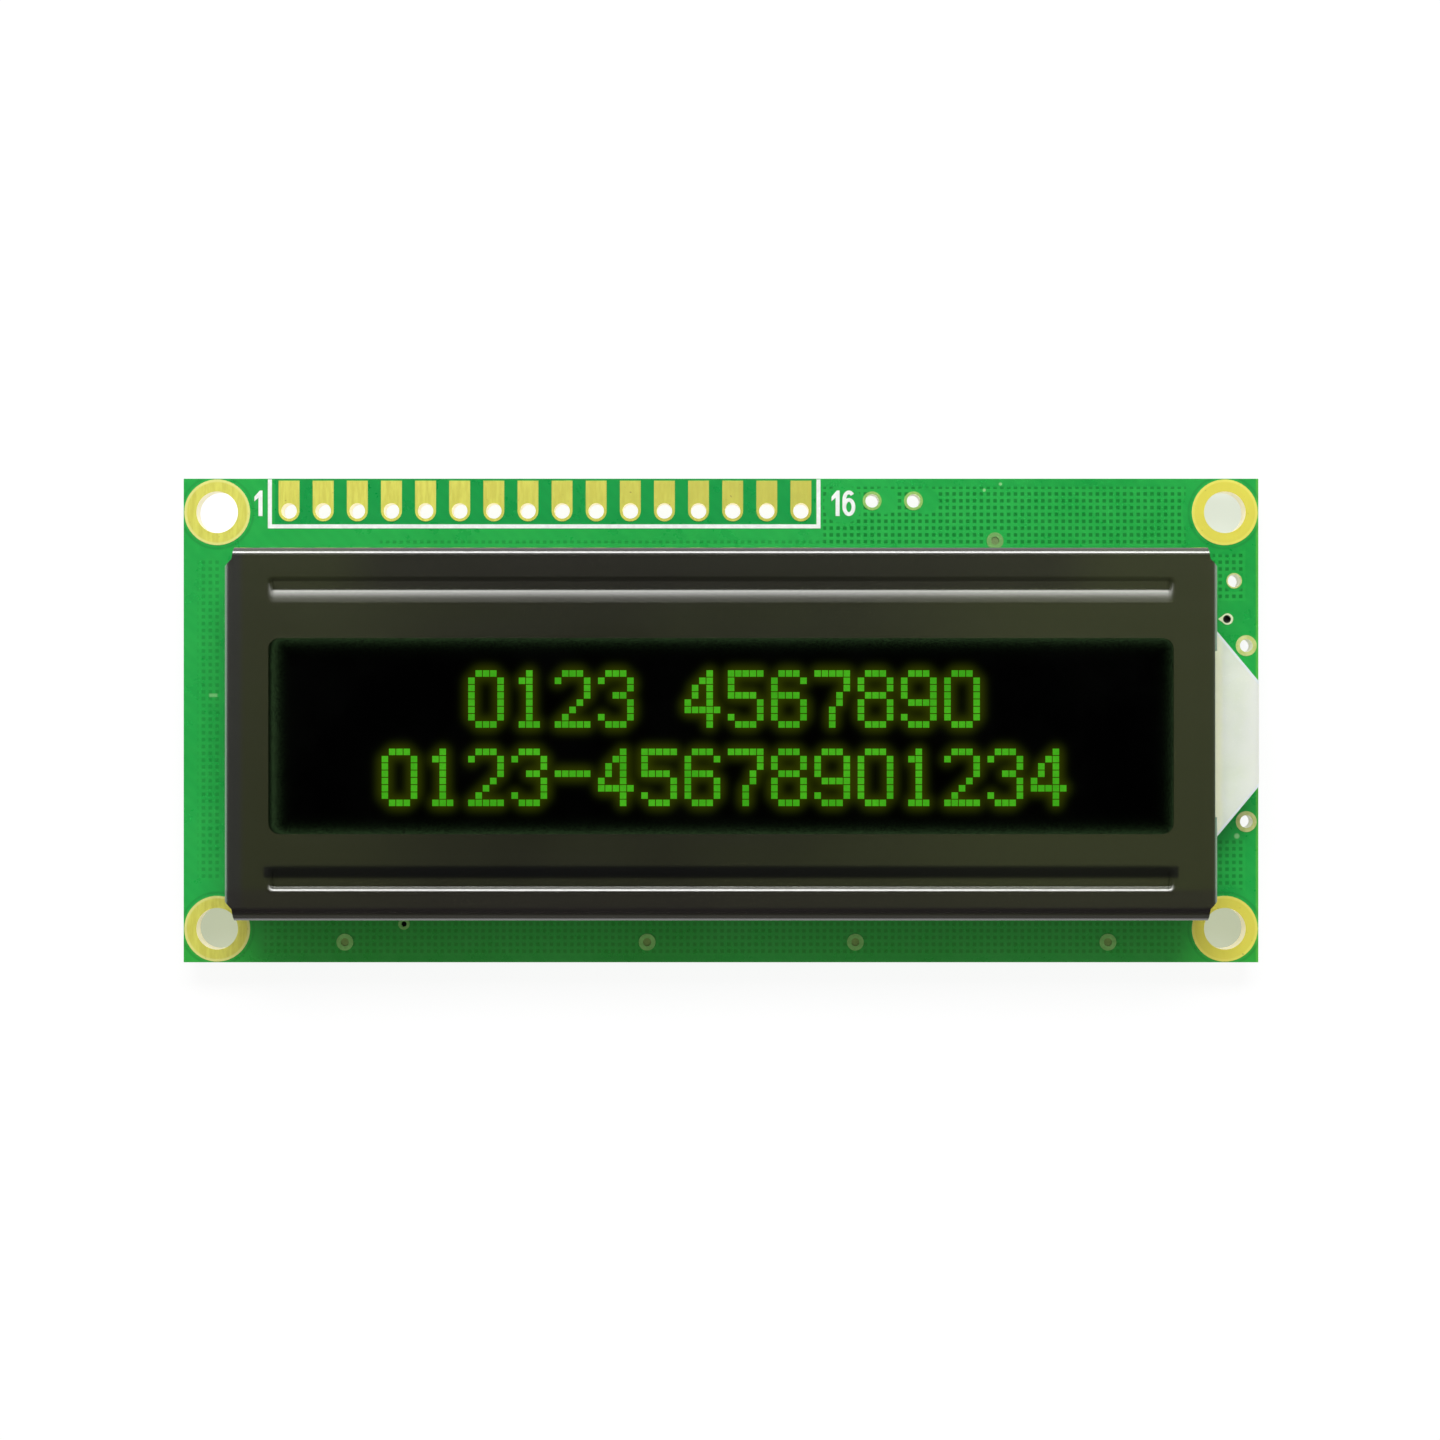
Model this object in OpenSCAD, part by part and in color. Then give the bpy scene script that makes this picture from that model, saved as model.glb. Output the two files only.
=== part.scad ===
// Character display module: 16 characters by 2 lines behind a folded steel bezel, on a circuit
// board with a row of solder pads along one edge and an edge-lit backlight.
// Lengths are in millimetres. The origin is the middle of the board's outline, at the level of
// the tips of the bezel's lugs, on which the module lies. +X runs along the row of pads away
// from pad 1, +Y points to the edge that carries them and +Z to the viewer.

/* [Board] */
// Width of the circuit board
board_w = 80; // [80:0.5:90]
// Depth of the circuit board
board_h = 36; // [36:0.5:44]
// Thickness of the board's laminate
board_t = 1.6; // [0.8:0.1:2.4]
// Thickness of the copper and its gold plating
plating_t = 0.05; // [0.03:0.01:0.08]
// From a mounting hole's centre to each of the two board edges beside it
hole_inset = 2.5; // [2.2:0.1:2.8]
// Finished diameter of the mounting holes
hole_d = 3.1; // [2.2:0.1:3.4]
// Diameter of the plated ring round a mounting hole
hole_ring_d = 4.9; // [4.4:0.1:5.6]

/* [Pad row] */
// Number of connection pads
pad_count = 16; // [14:2:16]
// Distance from one connection pad to the next
pad_pitch = 2.54; // [2:0.02:2.54]
// Finished diameter of the connection holes
pad_hole_d = 1.15; // [0.8:0.05:1.2]
// Width of a connection pad
pad_w = 1.55; // [1.45:0.05:1.8]
// From the connection holes' centres to the board's long edge
pad_inset = 2.4; // [2.2:0.1:2.8]
// From the first connection hole's centre to the board's short edge
pad_start = 7.85; // [7.4:0.05:8.6]
// Bare strip between a pad's end and the board's edge
pad_edge_gap = 0.15; // [0.05:0.05:0.4]

/* [Bezel] */
// Thickness of the bezel's steel sheet
sheet_t = 0.35; // [0.25:0.05:0.4]
// Outside radius of the bezel's bends
bend_r = 0.55; // [0.45:0.05:0.8]
// Bare board between the bezel and each short edge of the board
side_margin = 4.15; // [3.6:0.05:5]
// Bare board between the bezel and the long edge with the connection pads
upper_margin = 5.5; // [5.1:0.1:6.5]
// Bare board between the bezel and the other long edge
lower_margin = 3.55; // [3.2:0.05:4.5]
// How far a long wall ends before the bezel's corner
corner_notch_x = 0.7; // [0.6:0.05:0.8]
// How far a short wall ends before the bezel's corner
corner_notch_y = 1.4; // [1.1:0.05:1.7]
// Chamfer between a short wall's end and the notch at the corner
corner_chamfer = 0.55; // [0.4:0.05:0.6]
// Depth of the two pressed grooves
groove_depth = 0.18; // [0.17:0.01:0.2]
// Width of a groove's flat floor
groove_floor = 0.55; // [0.4:0.05:0.7]
// Width of a groove's steep flank, beside the long wall and at both ends
groove_steep = 0.4; // [0.4:0.02:0.5]
// Width of a groove's gentle flank, towards the window
groove_gentle = 1.15; // [1.1:0.05:1.4]
// Radius of the hollow between a groove's floor and its gentle flank
groove_hollow = 0.4; // [0.3:0.05:0.6]
// From the bezel's long side to the line where a groove's two sides meet on its floor
groove_inset = 2.6; // [2.3:0.05:2.8]
// From the bezel's short side to a groove's end
groove_end = 3; // [2.5:0.1:10]
// Number of lugs along each long side
lug_count = 4; // [2:1:5]
// From the bezel's short side to the middle of its nearest lug
lug_inset = 9; // [8:0.2:14]
// Width of a lug
lug_w = 2.8; // [2:0.1:3.4]
// Length of lug that stands out behind the board
lug_out = 1.8; // [1.7:0.1:2.4]
// Length of the twisted stretch behind the board
lug_neck = 0.8; // [0.6:0.1:1.2]
// Angle by which a lug's end is twisted to lock it
lug_twist = 32; // [15:1:40]
// Running gap between a lug and its slot, on each side
lug_gap = 0.3; // [0.2:0.05:0.5]

/* [Window] */
// From the end of the glass to the window's short side
view_border_x = 2.25; // [2:0.05:5]
// From the edge of the rear glass to the window's long side
view_border_y = 2.3; // [2:0.05:3]
// Corner radius of the bezel's window
view_r = 0.8; // [0.3:0.1:1.5]
// How far the window's middle lies below the bezel's middle
view_drop = 0.15; // [0:0.05:0.3]

/* [Glass cell] */
// Thickness of each glass plate
glass_t = 1.1; // [0.7:0.1:1.3]
// Gap from the glass to the bezel's short walls
glass_gap_x = 0.6; // [0.4:0.05:0.8]
// Gap from the glass to the bezel's long walls
glass_gap_y = 0.55; // [0.4:0.05:0.8]
// Bare contact ledge of the front glass along each long side
ledge = 3.2; // [2.9:0.05:3.4]
// Thickness of each polarising film
polarizer_t = 0.15; // [0.1:0.05:0.15]
// Border of polarising film beyond the window, on every side
polarizer_lap = 1.1; // [0.6:0.1:1.2]
// Thickness of a transparent electrode
electrode_t = 0.02; // [0.01:0.01:0.03]
// Thickness of the liquid crystal layer
crystal_t = 0.06; // [0.04:0.01:0.1]
// Width of the seal round the liquid crystal
seal_w = 0.9; // [0.6:0.1:1.2]
// From the glass edge to the seal
seal_inset = 0.4; // [0.2:0.05:0.6]
// Width of the filling gap in the seal
fill_gap_w = 2.4; // [1.5:0.1:4]
// Radius of the plug's bead over the filling gap
fill_bead_r = 0.35; // [0.2:0.05:0.35]
// How far the plug's bead runs past the gap at each end
fill_bead_lap = 0.4; // [0.2:0.1:0.8]

/* [Characters] */
// Characters in a line
columns = 16; // [8:4:16]
// Lines of characters
lines = 2; // [1:1:2]
// Distance from one dot column to the next
dot_pitch_x = 0.526; // [0.4:0.002:0.55]
// Distance from one dot row to the next
dot_pitch_y = 0.526; // [0.4:0.002:0.65]
// Bare gap between neighbouring dots
dot_gap = 0.06; // [0.03:0.01:0.1]
// Distance from one character to the next
char_pitch = 3.154; // [2.9:0.002:3.5]
// Distance from one line to the next
line_pitch = 5.66; // [5.3:0.02:6]
// How far the characters' middle lies below the window's middle
text_drop = 0.15; // [0:0.05:0.5]

/* [Contact strips] */
// Thickness of a rubber contact strip
strip_t = 2; // [1.6:0.1:2.2]
// From the end of the glass to the end of a rubber strip
strip_inset = 2.75; // [1.5:0.25:5]
// Contact fingers under each rubber strip
finger_count = 48; // [36:2:48]
// Width of a contact finger
finger_w = 0.7; // [0.4:0.05:0.9]
// Length of a contact finger
finger_l = 2.6; // [2.2:0.1:2.8]

/* [Backlight] */
// Thickness of the light guide
guide_t = 3.55; // [2.8:0.05:4]
// Gap between the light guide and each rubber strip
guide_gap = 0.6; // [0.3:0.05:0.8]
// Gap between the light guide's plain end and the bezel's wall
guide_end_gap = 1; // [0.5:0.1:1.4]
// Thickness of the white film under the light guide
reflector_t = 0.15; // [0.1:0.05:0.25]
// Thickness of the film over the light guide
diffuser_t = 0.15; // [0.1:0.05:0.25]
// How far the lamp end stands back from the board's edge
lamp_end_gap = 0.65; // [0.2:0.05:1]
// Width of the lamp end at its tip
lamp_end_w = 7.7; // [6:0.1:9]
// Length of the light guide's tapered end
taper_l = 4.6; // [4.2:0.1:5]
// Width of the notch in the bezel's bend above the lamp end
lamp_notch_w = 12; // [8:0.2:13]
// How far that notch reaches in from the bezel's outside
lamp_notch_d = 0.2; // [0.1:0.05:0.3]
// Gap between the lamp end and the bezel's opening for it
lamp_gap = 0.25; // [0.15:0.05:0.4]
// Width of the lamp
lamp_w = 3.2; // [2.4:0.1:3.6]
// Depth of the lamp, along the light guide
lamp_d = 1.6; // [1.2:0.1:1.8]
// Height of the lamp
lamp_h = 2.4; // [2:0.1:2.5]
// Clearance between the lamp and its pocket
lamp_clear = 0.1; // [0.05:0.05:0.2]
// Diameter of a lamp lead
lead_d = 0.45; // [0.3:0.05:0.5]
// Distance between the two lamp leads
lead_spacing = 2; // [1.8:0.05:2.2]
// Length of lead that stands out behind the board
lead_out = 1; // [0.6:0.1:1.5]
// Height of the solder cone on a lead
solder_h = 0.7; // [0.4:0.1:0.9]

/* [Back] */
// Diameter of the larger potting dome
dome_d = 15; // [12:0.5:17]
// Height of the larger potting dome
dome_h = 1.5; // [1:0.1:1.55]
// Diameter of the smaller potting dome
small_dome_d = 12.5; // [10:0.5:15]
// Height of the smaller potting dome
small_dome_h = 1.4; // [1:0.1:1.5]
// Side of the larger chip under its dome
die_w = 4.2; // [3:0.1:5]
// Side of the smaller chip under its dome
small_die_w = 3.4; // [2.5:0.1:4]
// Thickness of both chips
die_t = 0.45; // [0.3:0.05:0.5]
// Length of a chip resistor or capacitor
chip_l = 2; // [1.6:0.1:2.2]
// Width of a chip resistor or capacitor
chip_w = 1.25; // [0.8:0.05:1.3]
// Height of a chip resistor
resistor_h = 0.5; // [0.4:0.05:0.6]
// Height of a chip capacitor
capacitor_h = 0.9; // [0.6:0.05:1.2]

/* [Hidden] */
$fn = 72;

eps = 0.01;      // overshoot of a cutting tool past the face that it cuts
through = 1;     // overshoot of a tool that cuts right through
groove_fn = 32;  // facets of a groove's arcs where they are drawn as facets
lip_rise = 0.004; // how far a groove's round lip would stand over the face that it meets

// Heights, from the lug tips up to the bezel's face
z_board_back = lug_out;
z_board = z_board_back + board_t;
z_guide = z_board + reflector_t;
z_diffuser = z_guide + guide_t;
z_rear_polarizer = z_diffuser + diffuser_t;
z_rear_glass = z_rear_polarizer + polarizer_t;
z_cell = z_rear_glass + glass_t;
z_crystal = z_cell + electrode_t;
z_segments = z_crystal + crystal_t;
z_front_glass = z_segments + electrode_t;
z_glass_face = z_front_glass + glass_t;
z_sheet = z_glass_face + groove_depth;
z_face = z_sheet + sheet_t;

// Outlines, from the board inwards
bezel_w = board_w - 2 * side_margin;
bezel_h = board_h - upper_margin - lower_margin;
bezel_drop = (upper_margin - lower_margin) / 2;
glass_w = bezel_w - 2 * (glass_gap_x + sheet_t);
glass_h = bezel_h - 2 * (glass_gap_y + sheet_t);
rear_glass_h = glass_h - 2 * ledge;
view_w = glass_w - 2 * view_border_x;
view_h = rear_glass_h - 2 * view_border_y;
view_y = -bezel_drop - view_drop;
seal_out_w = glass_w - 2 * seal_inset;
seal_out_h = rear_glass_h - 2 * seal_inset;
seal_in_w = seal_out_w - 2 * seal_w;
seal_in_h = seal_out_h - 2 * seal_w;
strip_l = glass_w - 2 * strip_inset;
strip_dy = (glass_h + rear_glass_h) / 4;
guide_h = 2 * (strip_dy - strip_t / 2 - guide_gap);
guide_x0 = -bezel_w / 2 + sheet_t + guide_end_gap;
guide_x1 = board_w / 2 - lamp_end_gap;
taper_x = guide_x1 - taper_l;

// Films lie a little inside the light guide's outline
film_inset_x = 0.2;
film_inset_y = 0.3;
film_w = taper_x - guide_x0 - 2 * film_inset_x;
film_h = guide_h - 2 * film_inset_y;

// Ends of the grooves, and their places on either side of the bezel's middle
groove_l = bezel_w - 2 * groove_end;
groove_squeeze = groove_steep / groove_gentle;
floor_gentle = groove_floor / (1 + groove_squeeze);
groove_end_r = groove_squeeze * (floor_gentle + groove_gentle);
groove_dy = bezel_h / 2 - groove_inset;

// Dots of a character and the area that all the characters fill
dots_x = 5;
dots_y = 8;
text_w = (columns - 1) * char_pitch + dots_x * dot_pitch_x - dot_gap;
text_h = (lines - 1) * line_pitch + dots_y * dot_pitch_y - dot_gap;
text_y = view_y - text_drop;

// Places of the holes, each as [x, y]
mount_x = board_w / 2 - hole_inset;
mount_y = board_h / 2 - hole_inset;
mount_places = [for (sx = [-1, 1], sy = [-1, 1]) [sx * mount_x, sy * mount_y]];
pad_x0 = -board_w / 2 + pad_start;
pad_y = board_h / 2 - pad_inset;
pad_places = [for (i = [0 : pad_count - 1]) [pad_x0 + i * pad_pitch, pad_y]];

// Two spare holes beyond the last pad
spare_hole_d = 1;
spare_ring_d = 1.4;
spare_inset = 1.65;
spare_step = 5.3;
spare_spacing = 3.08;
last_pad_x = pad_x0 + (pad_count - 1) * pad_pitch;
spare_places = [for (i = [0, 1]) [last_pad_x + spare_step + i * spare_spacing,
                                  board_h / 2 - spare_inset]];

// Two holes on either side of the lamp end, and a smaller one nearer the corner
side_hole_d = 0.95;
side_ring_d = 1.55;
side_inset = 0.9;
side_spacing = 13.1;
side_places = [for (s = [-1, 1]) [board_w / 2 - side_inset, -bezel_drop + s * side_spacing / 2]];
test_ring_d = 1.15;
test_inset = [1.8, 7.6];
test_place = [board_w / 2 - test_inset[0], board_h / 2 - test_inset[1]];

// Two narrow vias, each at its distances from the nearer edges
narrow_via_d = 0.4;
narrow_ring_d = 0.85;
narrow_right = [2.3, 10.45];
narrow_left = [16.4, 2.85];
narrow_places = [[board_w / 2 - narrow_right[0], board_h / 2 - narrow_right[1]],
                 [-board_w / 2 + narrow_left[0], -board_h / 2 + narrow_left[1]]];

// Wide vias along the lower edge, and one beside the bezel's upper wall
wide_via_d = 0.6;
wide_ring_d = 1.25;
wide_inset = 1.5;
wide_from_left = [12, 34.5];
wide_from_right = [30, 11.2];
upper_via_inset = 19.6;
upper_via_gap = 0.25;
wide_places = concat(
    [for (d = wide_from_left) [-board_w / 2 + d, -board_h / 2 + wide_inset]],
    [for (d = wide_from_right) [board_w / 2 - d, -board_h / 2 + wide_inset]],
    [[board_w / 2 - upper_via_inset, board_h / 2 - upper_margin + wide_ring_d / 2 + upper_via_gap]]
);

// The lamp's leads pass through two small plated holes
lead_play = 0.25;
lead_ring_w = 0.55;
lead_hole_d = lead_d + lead_play;
lead_ring_d = lead_hole_d + lead_ring_w;
lamp_x0 = guide_x1 - lamp_d - 2 * lamp_clear;
lamp_x = lamp_x0 + lamp_d / 2;
lead_places = [for (s = [-1, 1]) [lamp_x, -bezel_drop + s * lead_spacing / 2]];

// Slots for the lugs, and the lugs' places along the long sides
lug_dx = (bezel_w - 2 * lug_inset) / (lug_count - 1);
lug_dy = bezel_h / 2 - sheet_t / 2;
lug_places = [for (i = [0 : lug_count - 1], s = [-1, 1])
              [-bezel_w / 2 + lug_inset + i * lug_dx, s * lug_dy]];

// Parts on the back, each as [x, y, angle]
dome_place = [-13, -1.2];
small_dome_place = [16.5, -1.2];
resistor_places = [[-30.5, 6.5, 90], [-27, 6.5, 90], [-23.5, 6.5, 90], [-31, -1, 0],
                   [-31, -4, 0], [2.6, 7.4, 0], [2.6, 4.2, 0], [27.5, 6.8, 0], [30.5, -6.5, 90]];
capacitor_places = [[-31, -8.2, 0], [2.6, -6.8, 0], [27.5, 3.4, 0]];
jumper_places = [[2.6, 1.4, 0], [2.6, -0.8, 0], [30.5, -1, 90]];
jumper_pad = 0.9;
jumper_spacing = 1.3;

// ---------------------------------------------------------------- shapes used more than once

// Puts the children at every place in a list
module at_each(places) {
    for (p = places) translate([p[0], p[1], 0]) children();
}

// A flat block centred on the Z axis, from height z up
module slab(w, h, z, t) {
    translate([-w / 2, -h / 2, z]) cube([w, h, t]);
}

// A rectangle with round corners, centred
module round_rect(w, h, r) {
    square([w - 2 * r, h], center = true);
    square([w, h - 2 * r], center = true);
    for (sx = [-1, 1], sy = [-1, 1])
        translate([sx * (w / 2 - r), sy * (h / 2 - r)]) circle(r = r);
}

// A pad of the given outline on both faces of the board, joined by a plated hole
module plated_pad(bore_d) {
    difference() {
        union() {
            for (z = [z_board_back - plating_t, z_board])
                translate([0, 0, z]) linear_extrude(plating_t) children();
            translate([0, 0, z_board_back - plating_t])
                cylinder(d = bore_d + 2 * plating_t, h = board_t + 2 * plating_t);
        }
        translate([0, 0, z_board_back - through]) cylinder(d = bore_d, h = board_t + 2 * through);
    }
}

module drilled(places, bore_d) {
    at_each(places)
        translate([0, 0, z_board_back - through])
            cylinder(d = bore_d + 2 * plating_t, h = board_t + 2 * through);
}

// ---------------------------------------------------------------- circuit board

module board() {
    slot_w = lug_w + 2 * lug_gap;
    slot_h = sheet_t + 2 * lug_gap;
    color([0.12, 0.62, 0.27])
        difference() {
            slab(board_w, board_h, z_board_back, board_t);
            drilled(mount_places, hole_d);
            drilled(pad_places, pad_hole_d);
            drilled(spare_places, spare_hole_d);
            drilled(concat(side_places, [test_place]), side_hole_d);
            drilled(narrow_places, narrow_via_d);
            drilled(wide_places, wide_via_d);
            drilled(lead_places, lead_hole_d);
            translate([0, -bezel_drop, 0])
                at_each(lug_places) slab(slot_w, slot_h, z_board_back - through,
                                         board_t + 2 * through);
        }
}

module mounting_rings() {
    color([0.85, 0.8, 0.25])
        intersection() {
            at_each(mount_places) plated_pad(hole_d) circle(d = hole_ring_d);
            slab(board_w, board_h, 0, z_face);
        }
}

// A pad runs from round its hole to the board's edge
module connection_pads() {
    color([0.85, 0.8, 0.25])
        at_each(pad_places)
            plated_pad(pad_hole_d) {
                circle(d = pad_w);
                translate([-pad_w / 2, 0]) square([pad_w, pad_inset - pad_edge_gap]);
            }
}

module spare_pads() {
    color([0.85, 0.82, 0.45])
        at_each(spare_places) plated_pad(spare_hole_d) circle(d = spare_ring_d);
}

module side_pads() {
    color([0.85, 0.82, 0.45]) {
        at_each(side_places) plated_pad(side_hole_d) circle(d = side_ring_d);
        at_each([test_place]) plated_pad(side_hole_d) circle(d = test_ring_d);
    }
}

module plated_vias() {
    color([0.7, 0.68, 0.4]) {
        at_each(narrow_places) plated_pad(narrow_via_d) circle(d = narrow_ring_d);
        at_each(wide_places) plated_pad(wide_via_d) circle(d = wide_ring_d);
        at_each(lead_places) plated_pad(lead_hole_d) circle(d = lead_ring_d);
    }
}

// Fingers that carry the display's lines from the board into a rubber strip
module contact_fingers(side) {
    step = strip_l / finger_count;
    color([0.85, 0.8, 0.25])
        for (i = [0 : finger_count - 1])
            translate([(i - (finger_count - 1) / 2) * step, -bezel_drop + side * strip_dy, 0])
                slab(finger_w, finger_l, z_board, plating_t);
}

// Bare pairs of pads on the back that a solder bridge would join
module jumper_pads() {
    color([0.85, 0.8, 0.25])
        for (p = jumper_places, s = [-1, 1])
            translate([p[0], p[1], 0])
                rotate([0, 0, p[2]])
                    translate([s * jumper_spacing / 2, 0, 0])
                        slab(jumper_pad, jumper_pad, z_board_back - plating_t, plating_t);
}

// ---------------------------------------------------------------- bezel

// Section of an upturned channel of sheet, centred, with its open side down
module channel_section(w, h) {
    module outline(w, h, r) {
        translate([-w / 2, -eps]) square([w, h - r + eps]);
        translate([-w / 2 + r, 0]) square([w - 2 * r, h]);
        for (s = [-1, 1]) translate([s * (w / 2 - r), h - r]) circle(r = r);
    }
    difference() {
        intersection() {
            outline(w, h, bend_r);
            translate([-w / 2, 0]) square([w, h]);
        }
        translate([0, -eps]) outline(w - 2 * sheet_t, h - sheet_t + eps, bend_r - sheet_t);
    }
}

// Two channels that cross make the four folded walls and leave the corners open
module bezel_shell() {
    wall_h = z_face - z_board;
    translate([0, 0, z_board]) {
        rotate([90, 0, 90]) linear_extrude(bezel_w - 2 * corner_chamfer, center = true)
            channel_section(bezel_h, wall_h);
        rotate([90, 0, 0]) linear_extrude(bezel_h - 2 * bend_r, center = true)
            channel_section(bezel_w, wall_h);
    }
}

// Notch at each corner: chamfered beside the short wall, then steep to the long wall's end
module corner_cuts() {
    x0 = bezel_w / 2;
    y0 = bezel_h / 2;
    for (mx = [0, 1], my = [0, 1])
        mirror([mx, 0, 0]) mirror([0, my, 0])
            translate([0, 0, z_board - through])
                linear_extrude(z_face - z_board + 2 * through)
                    polygon([
                        [x0 - corner_notch_x, y0],
                        [x0 - corner_chamfer, y0 - corner_notch_y + corner_chamfer],
                        [x0, y0 - corner_notch_y],
                        [x0 + through, y0 - corner_notch_y],
                        [x0 + through, y0 + through],
                        [x0 - corner_notch_x, y0 + through]
                    ]);
}

// The space over the gentle side of a groove, from the line where its two sides meet to the lip
// and up to the given top. The flank is two arcs, a small hollow one at the floor and a wide
// round one at the lip. grow moves all of it down along its normals, so that two of them bound
// sheet of even thickness.
module over_side(grow, top) {
    rise = groove_depth + lip_rise;
    both = (pow(groove_gentle, 2) + pow(rise, 2)) / (2 * rise);
    lip_r = both - groove_hollow;
    x = groove_gentle * (groove_hollow + grow) / both;
    y = rise * (groove_hollow + grow) / both - grow;
    translate([0, -grow]) square([floor_gentle, top + grow]);
    translate([floor_gentle, 0]) {
        intersection() {
            translate([0, groove_hollow]) circle(r = groove_hollow + grow, $fn = groove_fn);
            translate([0, -grow]) square([x, top + grow]);
        }
        difference() {
            translate([x, y]) square([groove_gentle - x, top - y]);
            translate([groove_gentle, rise - lip_r]) circle(r = lip_r - grow, $fn = groove_fn);
        }
    }
}

// The space over a whole groove along X, its floor at the origin's level, its gentle side to +Y.
// The other side is the same shape squeezed, and so is the way round both ends.
module over_groove(grow, top) {
    rotate([90, 0, 90])
        linear_extrude(groove_l - 2 * groove_end_r, center = true) {
            over_side(grow, top);
            mirror([1, 0]) scale([groove_squeeze, 1]) over_side(grow, top);
        }
    for (m = [0, 1])
        mirror([m, 0, 0])
            translate([groove_l / 2 - groove_end_r, 0, 0]) {
                scale([groove_squeeze, 1, 1])
                    rotate_extrude(angle = 90, $fn = groove_fn) over_side(grow, top);
                scale([groove_squeeze, groove_squeeze, 1])
                    rotate([0, 0, -90])
                        rotate_extrude(angle = 90, $fn = groove_fn) over_side(grow, top);
            }
}

// Both grooves in their places, each with its steep side beside a long wall
module over_grooves(grow, top) {
    for (m = [0, 1])
        mirror([0, m, 0])
            translate([0, -groove_dy, z_face - groove_depth]) over_groove(grow, top);
}

// Opening in the end wall for the lamp end of the light guide, and the narrower notch above it
module lamp_opening() {
    slope = (guide_h - lamp_end_w) / 2 / taper_l;
    half_w = lamp_end_w / 2 + slope * (guide_x1 - bezel_w / 2 + sheet_t) + lamp_gap;
    wall_x = bezel_w / 2 - bend_r;
    translate([wall_x, -half_w, z_board - through])
        cube([bend_r + through, 2 * half_w, z_diffuser + lamp_gap - z_board + through]);
    translate([wall_x, -lamp_notch_w / 2, z_board - through])
        cube([bend_r + through, lamp_notch_w, z_sheet - z_board + through]);
    translate([bezel_w / 2 - lamp_notch_d, -lamp_notch_w / 2, z_board - through])
        cube([lamp_notch_d + through, lamp_notch_w, z_face - z_board + 2 * through]);
}

// A lug goes straight through the board and is twisted behind it
module lug() {
    slab(lug_w, sheet_t, z_board_back, board_t + sheet_t);
    translate([0, 0, z_board_back - lug_neck])
        rotate([0, 0, lug_twist])
            linear_extrude(lug_neck, twist = lug_twist, slices = 6, $fn = 4)
                square([lug_w, sheet_t], center = true);
    rotate([0, 0, lug_twist]) slab(lug_w, sheet_t, 0, z_board_back - lug_neck);
}

module bezel() {
    color([0.22, 0.23, 0.15])
        translate([0, -bezel_drop, 0]) {
            difference() {
                union() {
                    bezel_shell();
                    over_grooves(sheet_t, groove_depth - sheet_t / 2);
                }
                over_grooves(0, groove_depth + eps);
                corner_cuts();
                translate([0, -view_drop, z_sheet - through])
                    linear_extrude(sheet_t + 2 * through) round_rect(view_w, view_h, view_r);
                lamp_opening();
            }
            at_each(lug_places) lug();
        }
}

// ---------------------------------------------------------------- glass cell

module front_polarizer() {
    color([0.03, 0.04, 0.03])
        translate([0, view_y, 0])
            slab(view_w + 2 * polarizer_lap, view_h + 2 * polarizer_lap, z_glass_face,
                 polarizer_t);
}

module front_glass() {
    color([0.75, 0.85, 0.8, 0.5])
        translate([0, -bezel_drop, 0]) slab(glass_w, glass_h, z_front_glass, glass_t);
}

// Upright stripes on the front glass, one for each column of dots
module segment_electrodes() {
    color([0.2, 0.65, 0.15])
        for (c = [0 : columns - 1], i = [0 : dots_x - 1])
            translate([-text_w / 2 + c * char_pitch + i * dot_pitch_x,
                       text_y - text_h / 2 - dot_gap, z_segments])
                cube([dot_pitch_x - dot_gap, text_h + 2 * dot_gap, electrode_t]);
}

// Level stripes on the rear glass, one for each row of dots
module common_electrodes() {
    color([0.2, 0.65, 0.15])
        for (l = [0 : lines - 1], i = [0 : dots_y - 1])
            translate([-text_w / 2 - dot_gap,
                       text_y - text_h / 2 + l * line_pitch + i * dot_pitch_y, z_cell])
                cube([text_w + 2 * dot_gap, dot_pitch_y - dot_gap, electrode_t]);
}

module liquid_crystal() {
    color([0.05, 0.07, 0.05])
        translate([0, -bezel_drop, 0]) slab(seal_in_w, seal_in_h, z_crystal, crystal_t);
}

module edge_seal() {
    color([0.85, 0.85, 0.8])
        translate([0, -bezel_drop, 0])
            difference() {
                slab(seal_out_w, seal_out_h, z_cell, z_front_glass - z_cell);
                slab(seal_in_w, seal_in_h, z_cell - through, 2 * through);
                translate([0, -fill_gap_w / 2, z_cell - through])
                    cube([glass_w, fill_gap_w, 2 * through]);
            }
}

// Resin that closes the filling gap, with a bead over the glass edges
module fill_plug() {
    color([0.8, 0.75, 0.5])
        translate([0, -bezel_drop, 0]) {
            translate([seal_in_w / 2, -fill_gap_w / 2, z_cell])
                cube([(glass_w - seal_in_w) / 2 + eps, fill_gap_w, z_front_glass - z_cell]);
            translate([glass_w / 2, 0, (z_cell + z_front_glass) / 2])
                intersection() {
                    rotate([90, 0, 0])
                        cylinder(r = fill_bead_r, h = fill_gap_w + 2 * fill_bead_lap, center = true);
                    translate([0, -glass_h / 2, -glass_t])
                        cube([glass_gap_x, glass_h, 2 * glass_t]);
                }
        }
}

module rear_glass() {
    color([0.75, 0.85, 0.8, 0.5])
        translate([0, -bezel_drop, 0]) slab(glass_w, rear_glass_h, z_rear_glass, glass_t);
}

module rear_polarizer() {
    color([0.3, 0.32, 0.3])
        translate([0, view_y, 0])
            slab(view_w + 2 * polarizer_lap, view_h + 2 * polarizer_lap, z_rear_polarizer,
                 polarizer_t);
}

// ---------------------------------------------------------------- rubber contact strips

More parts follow.
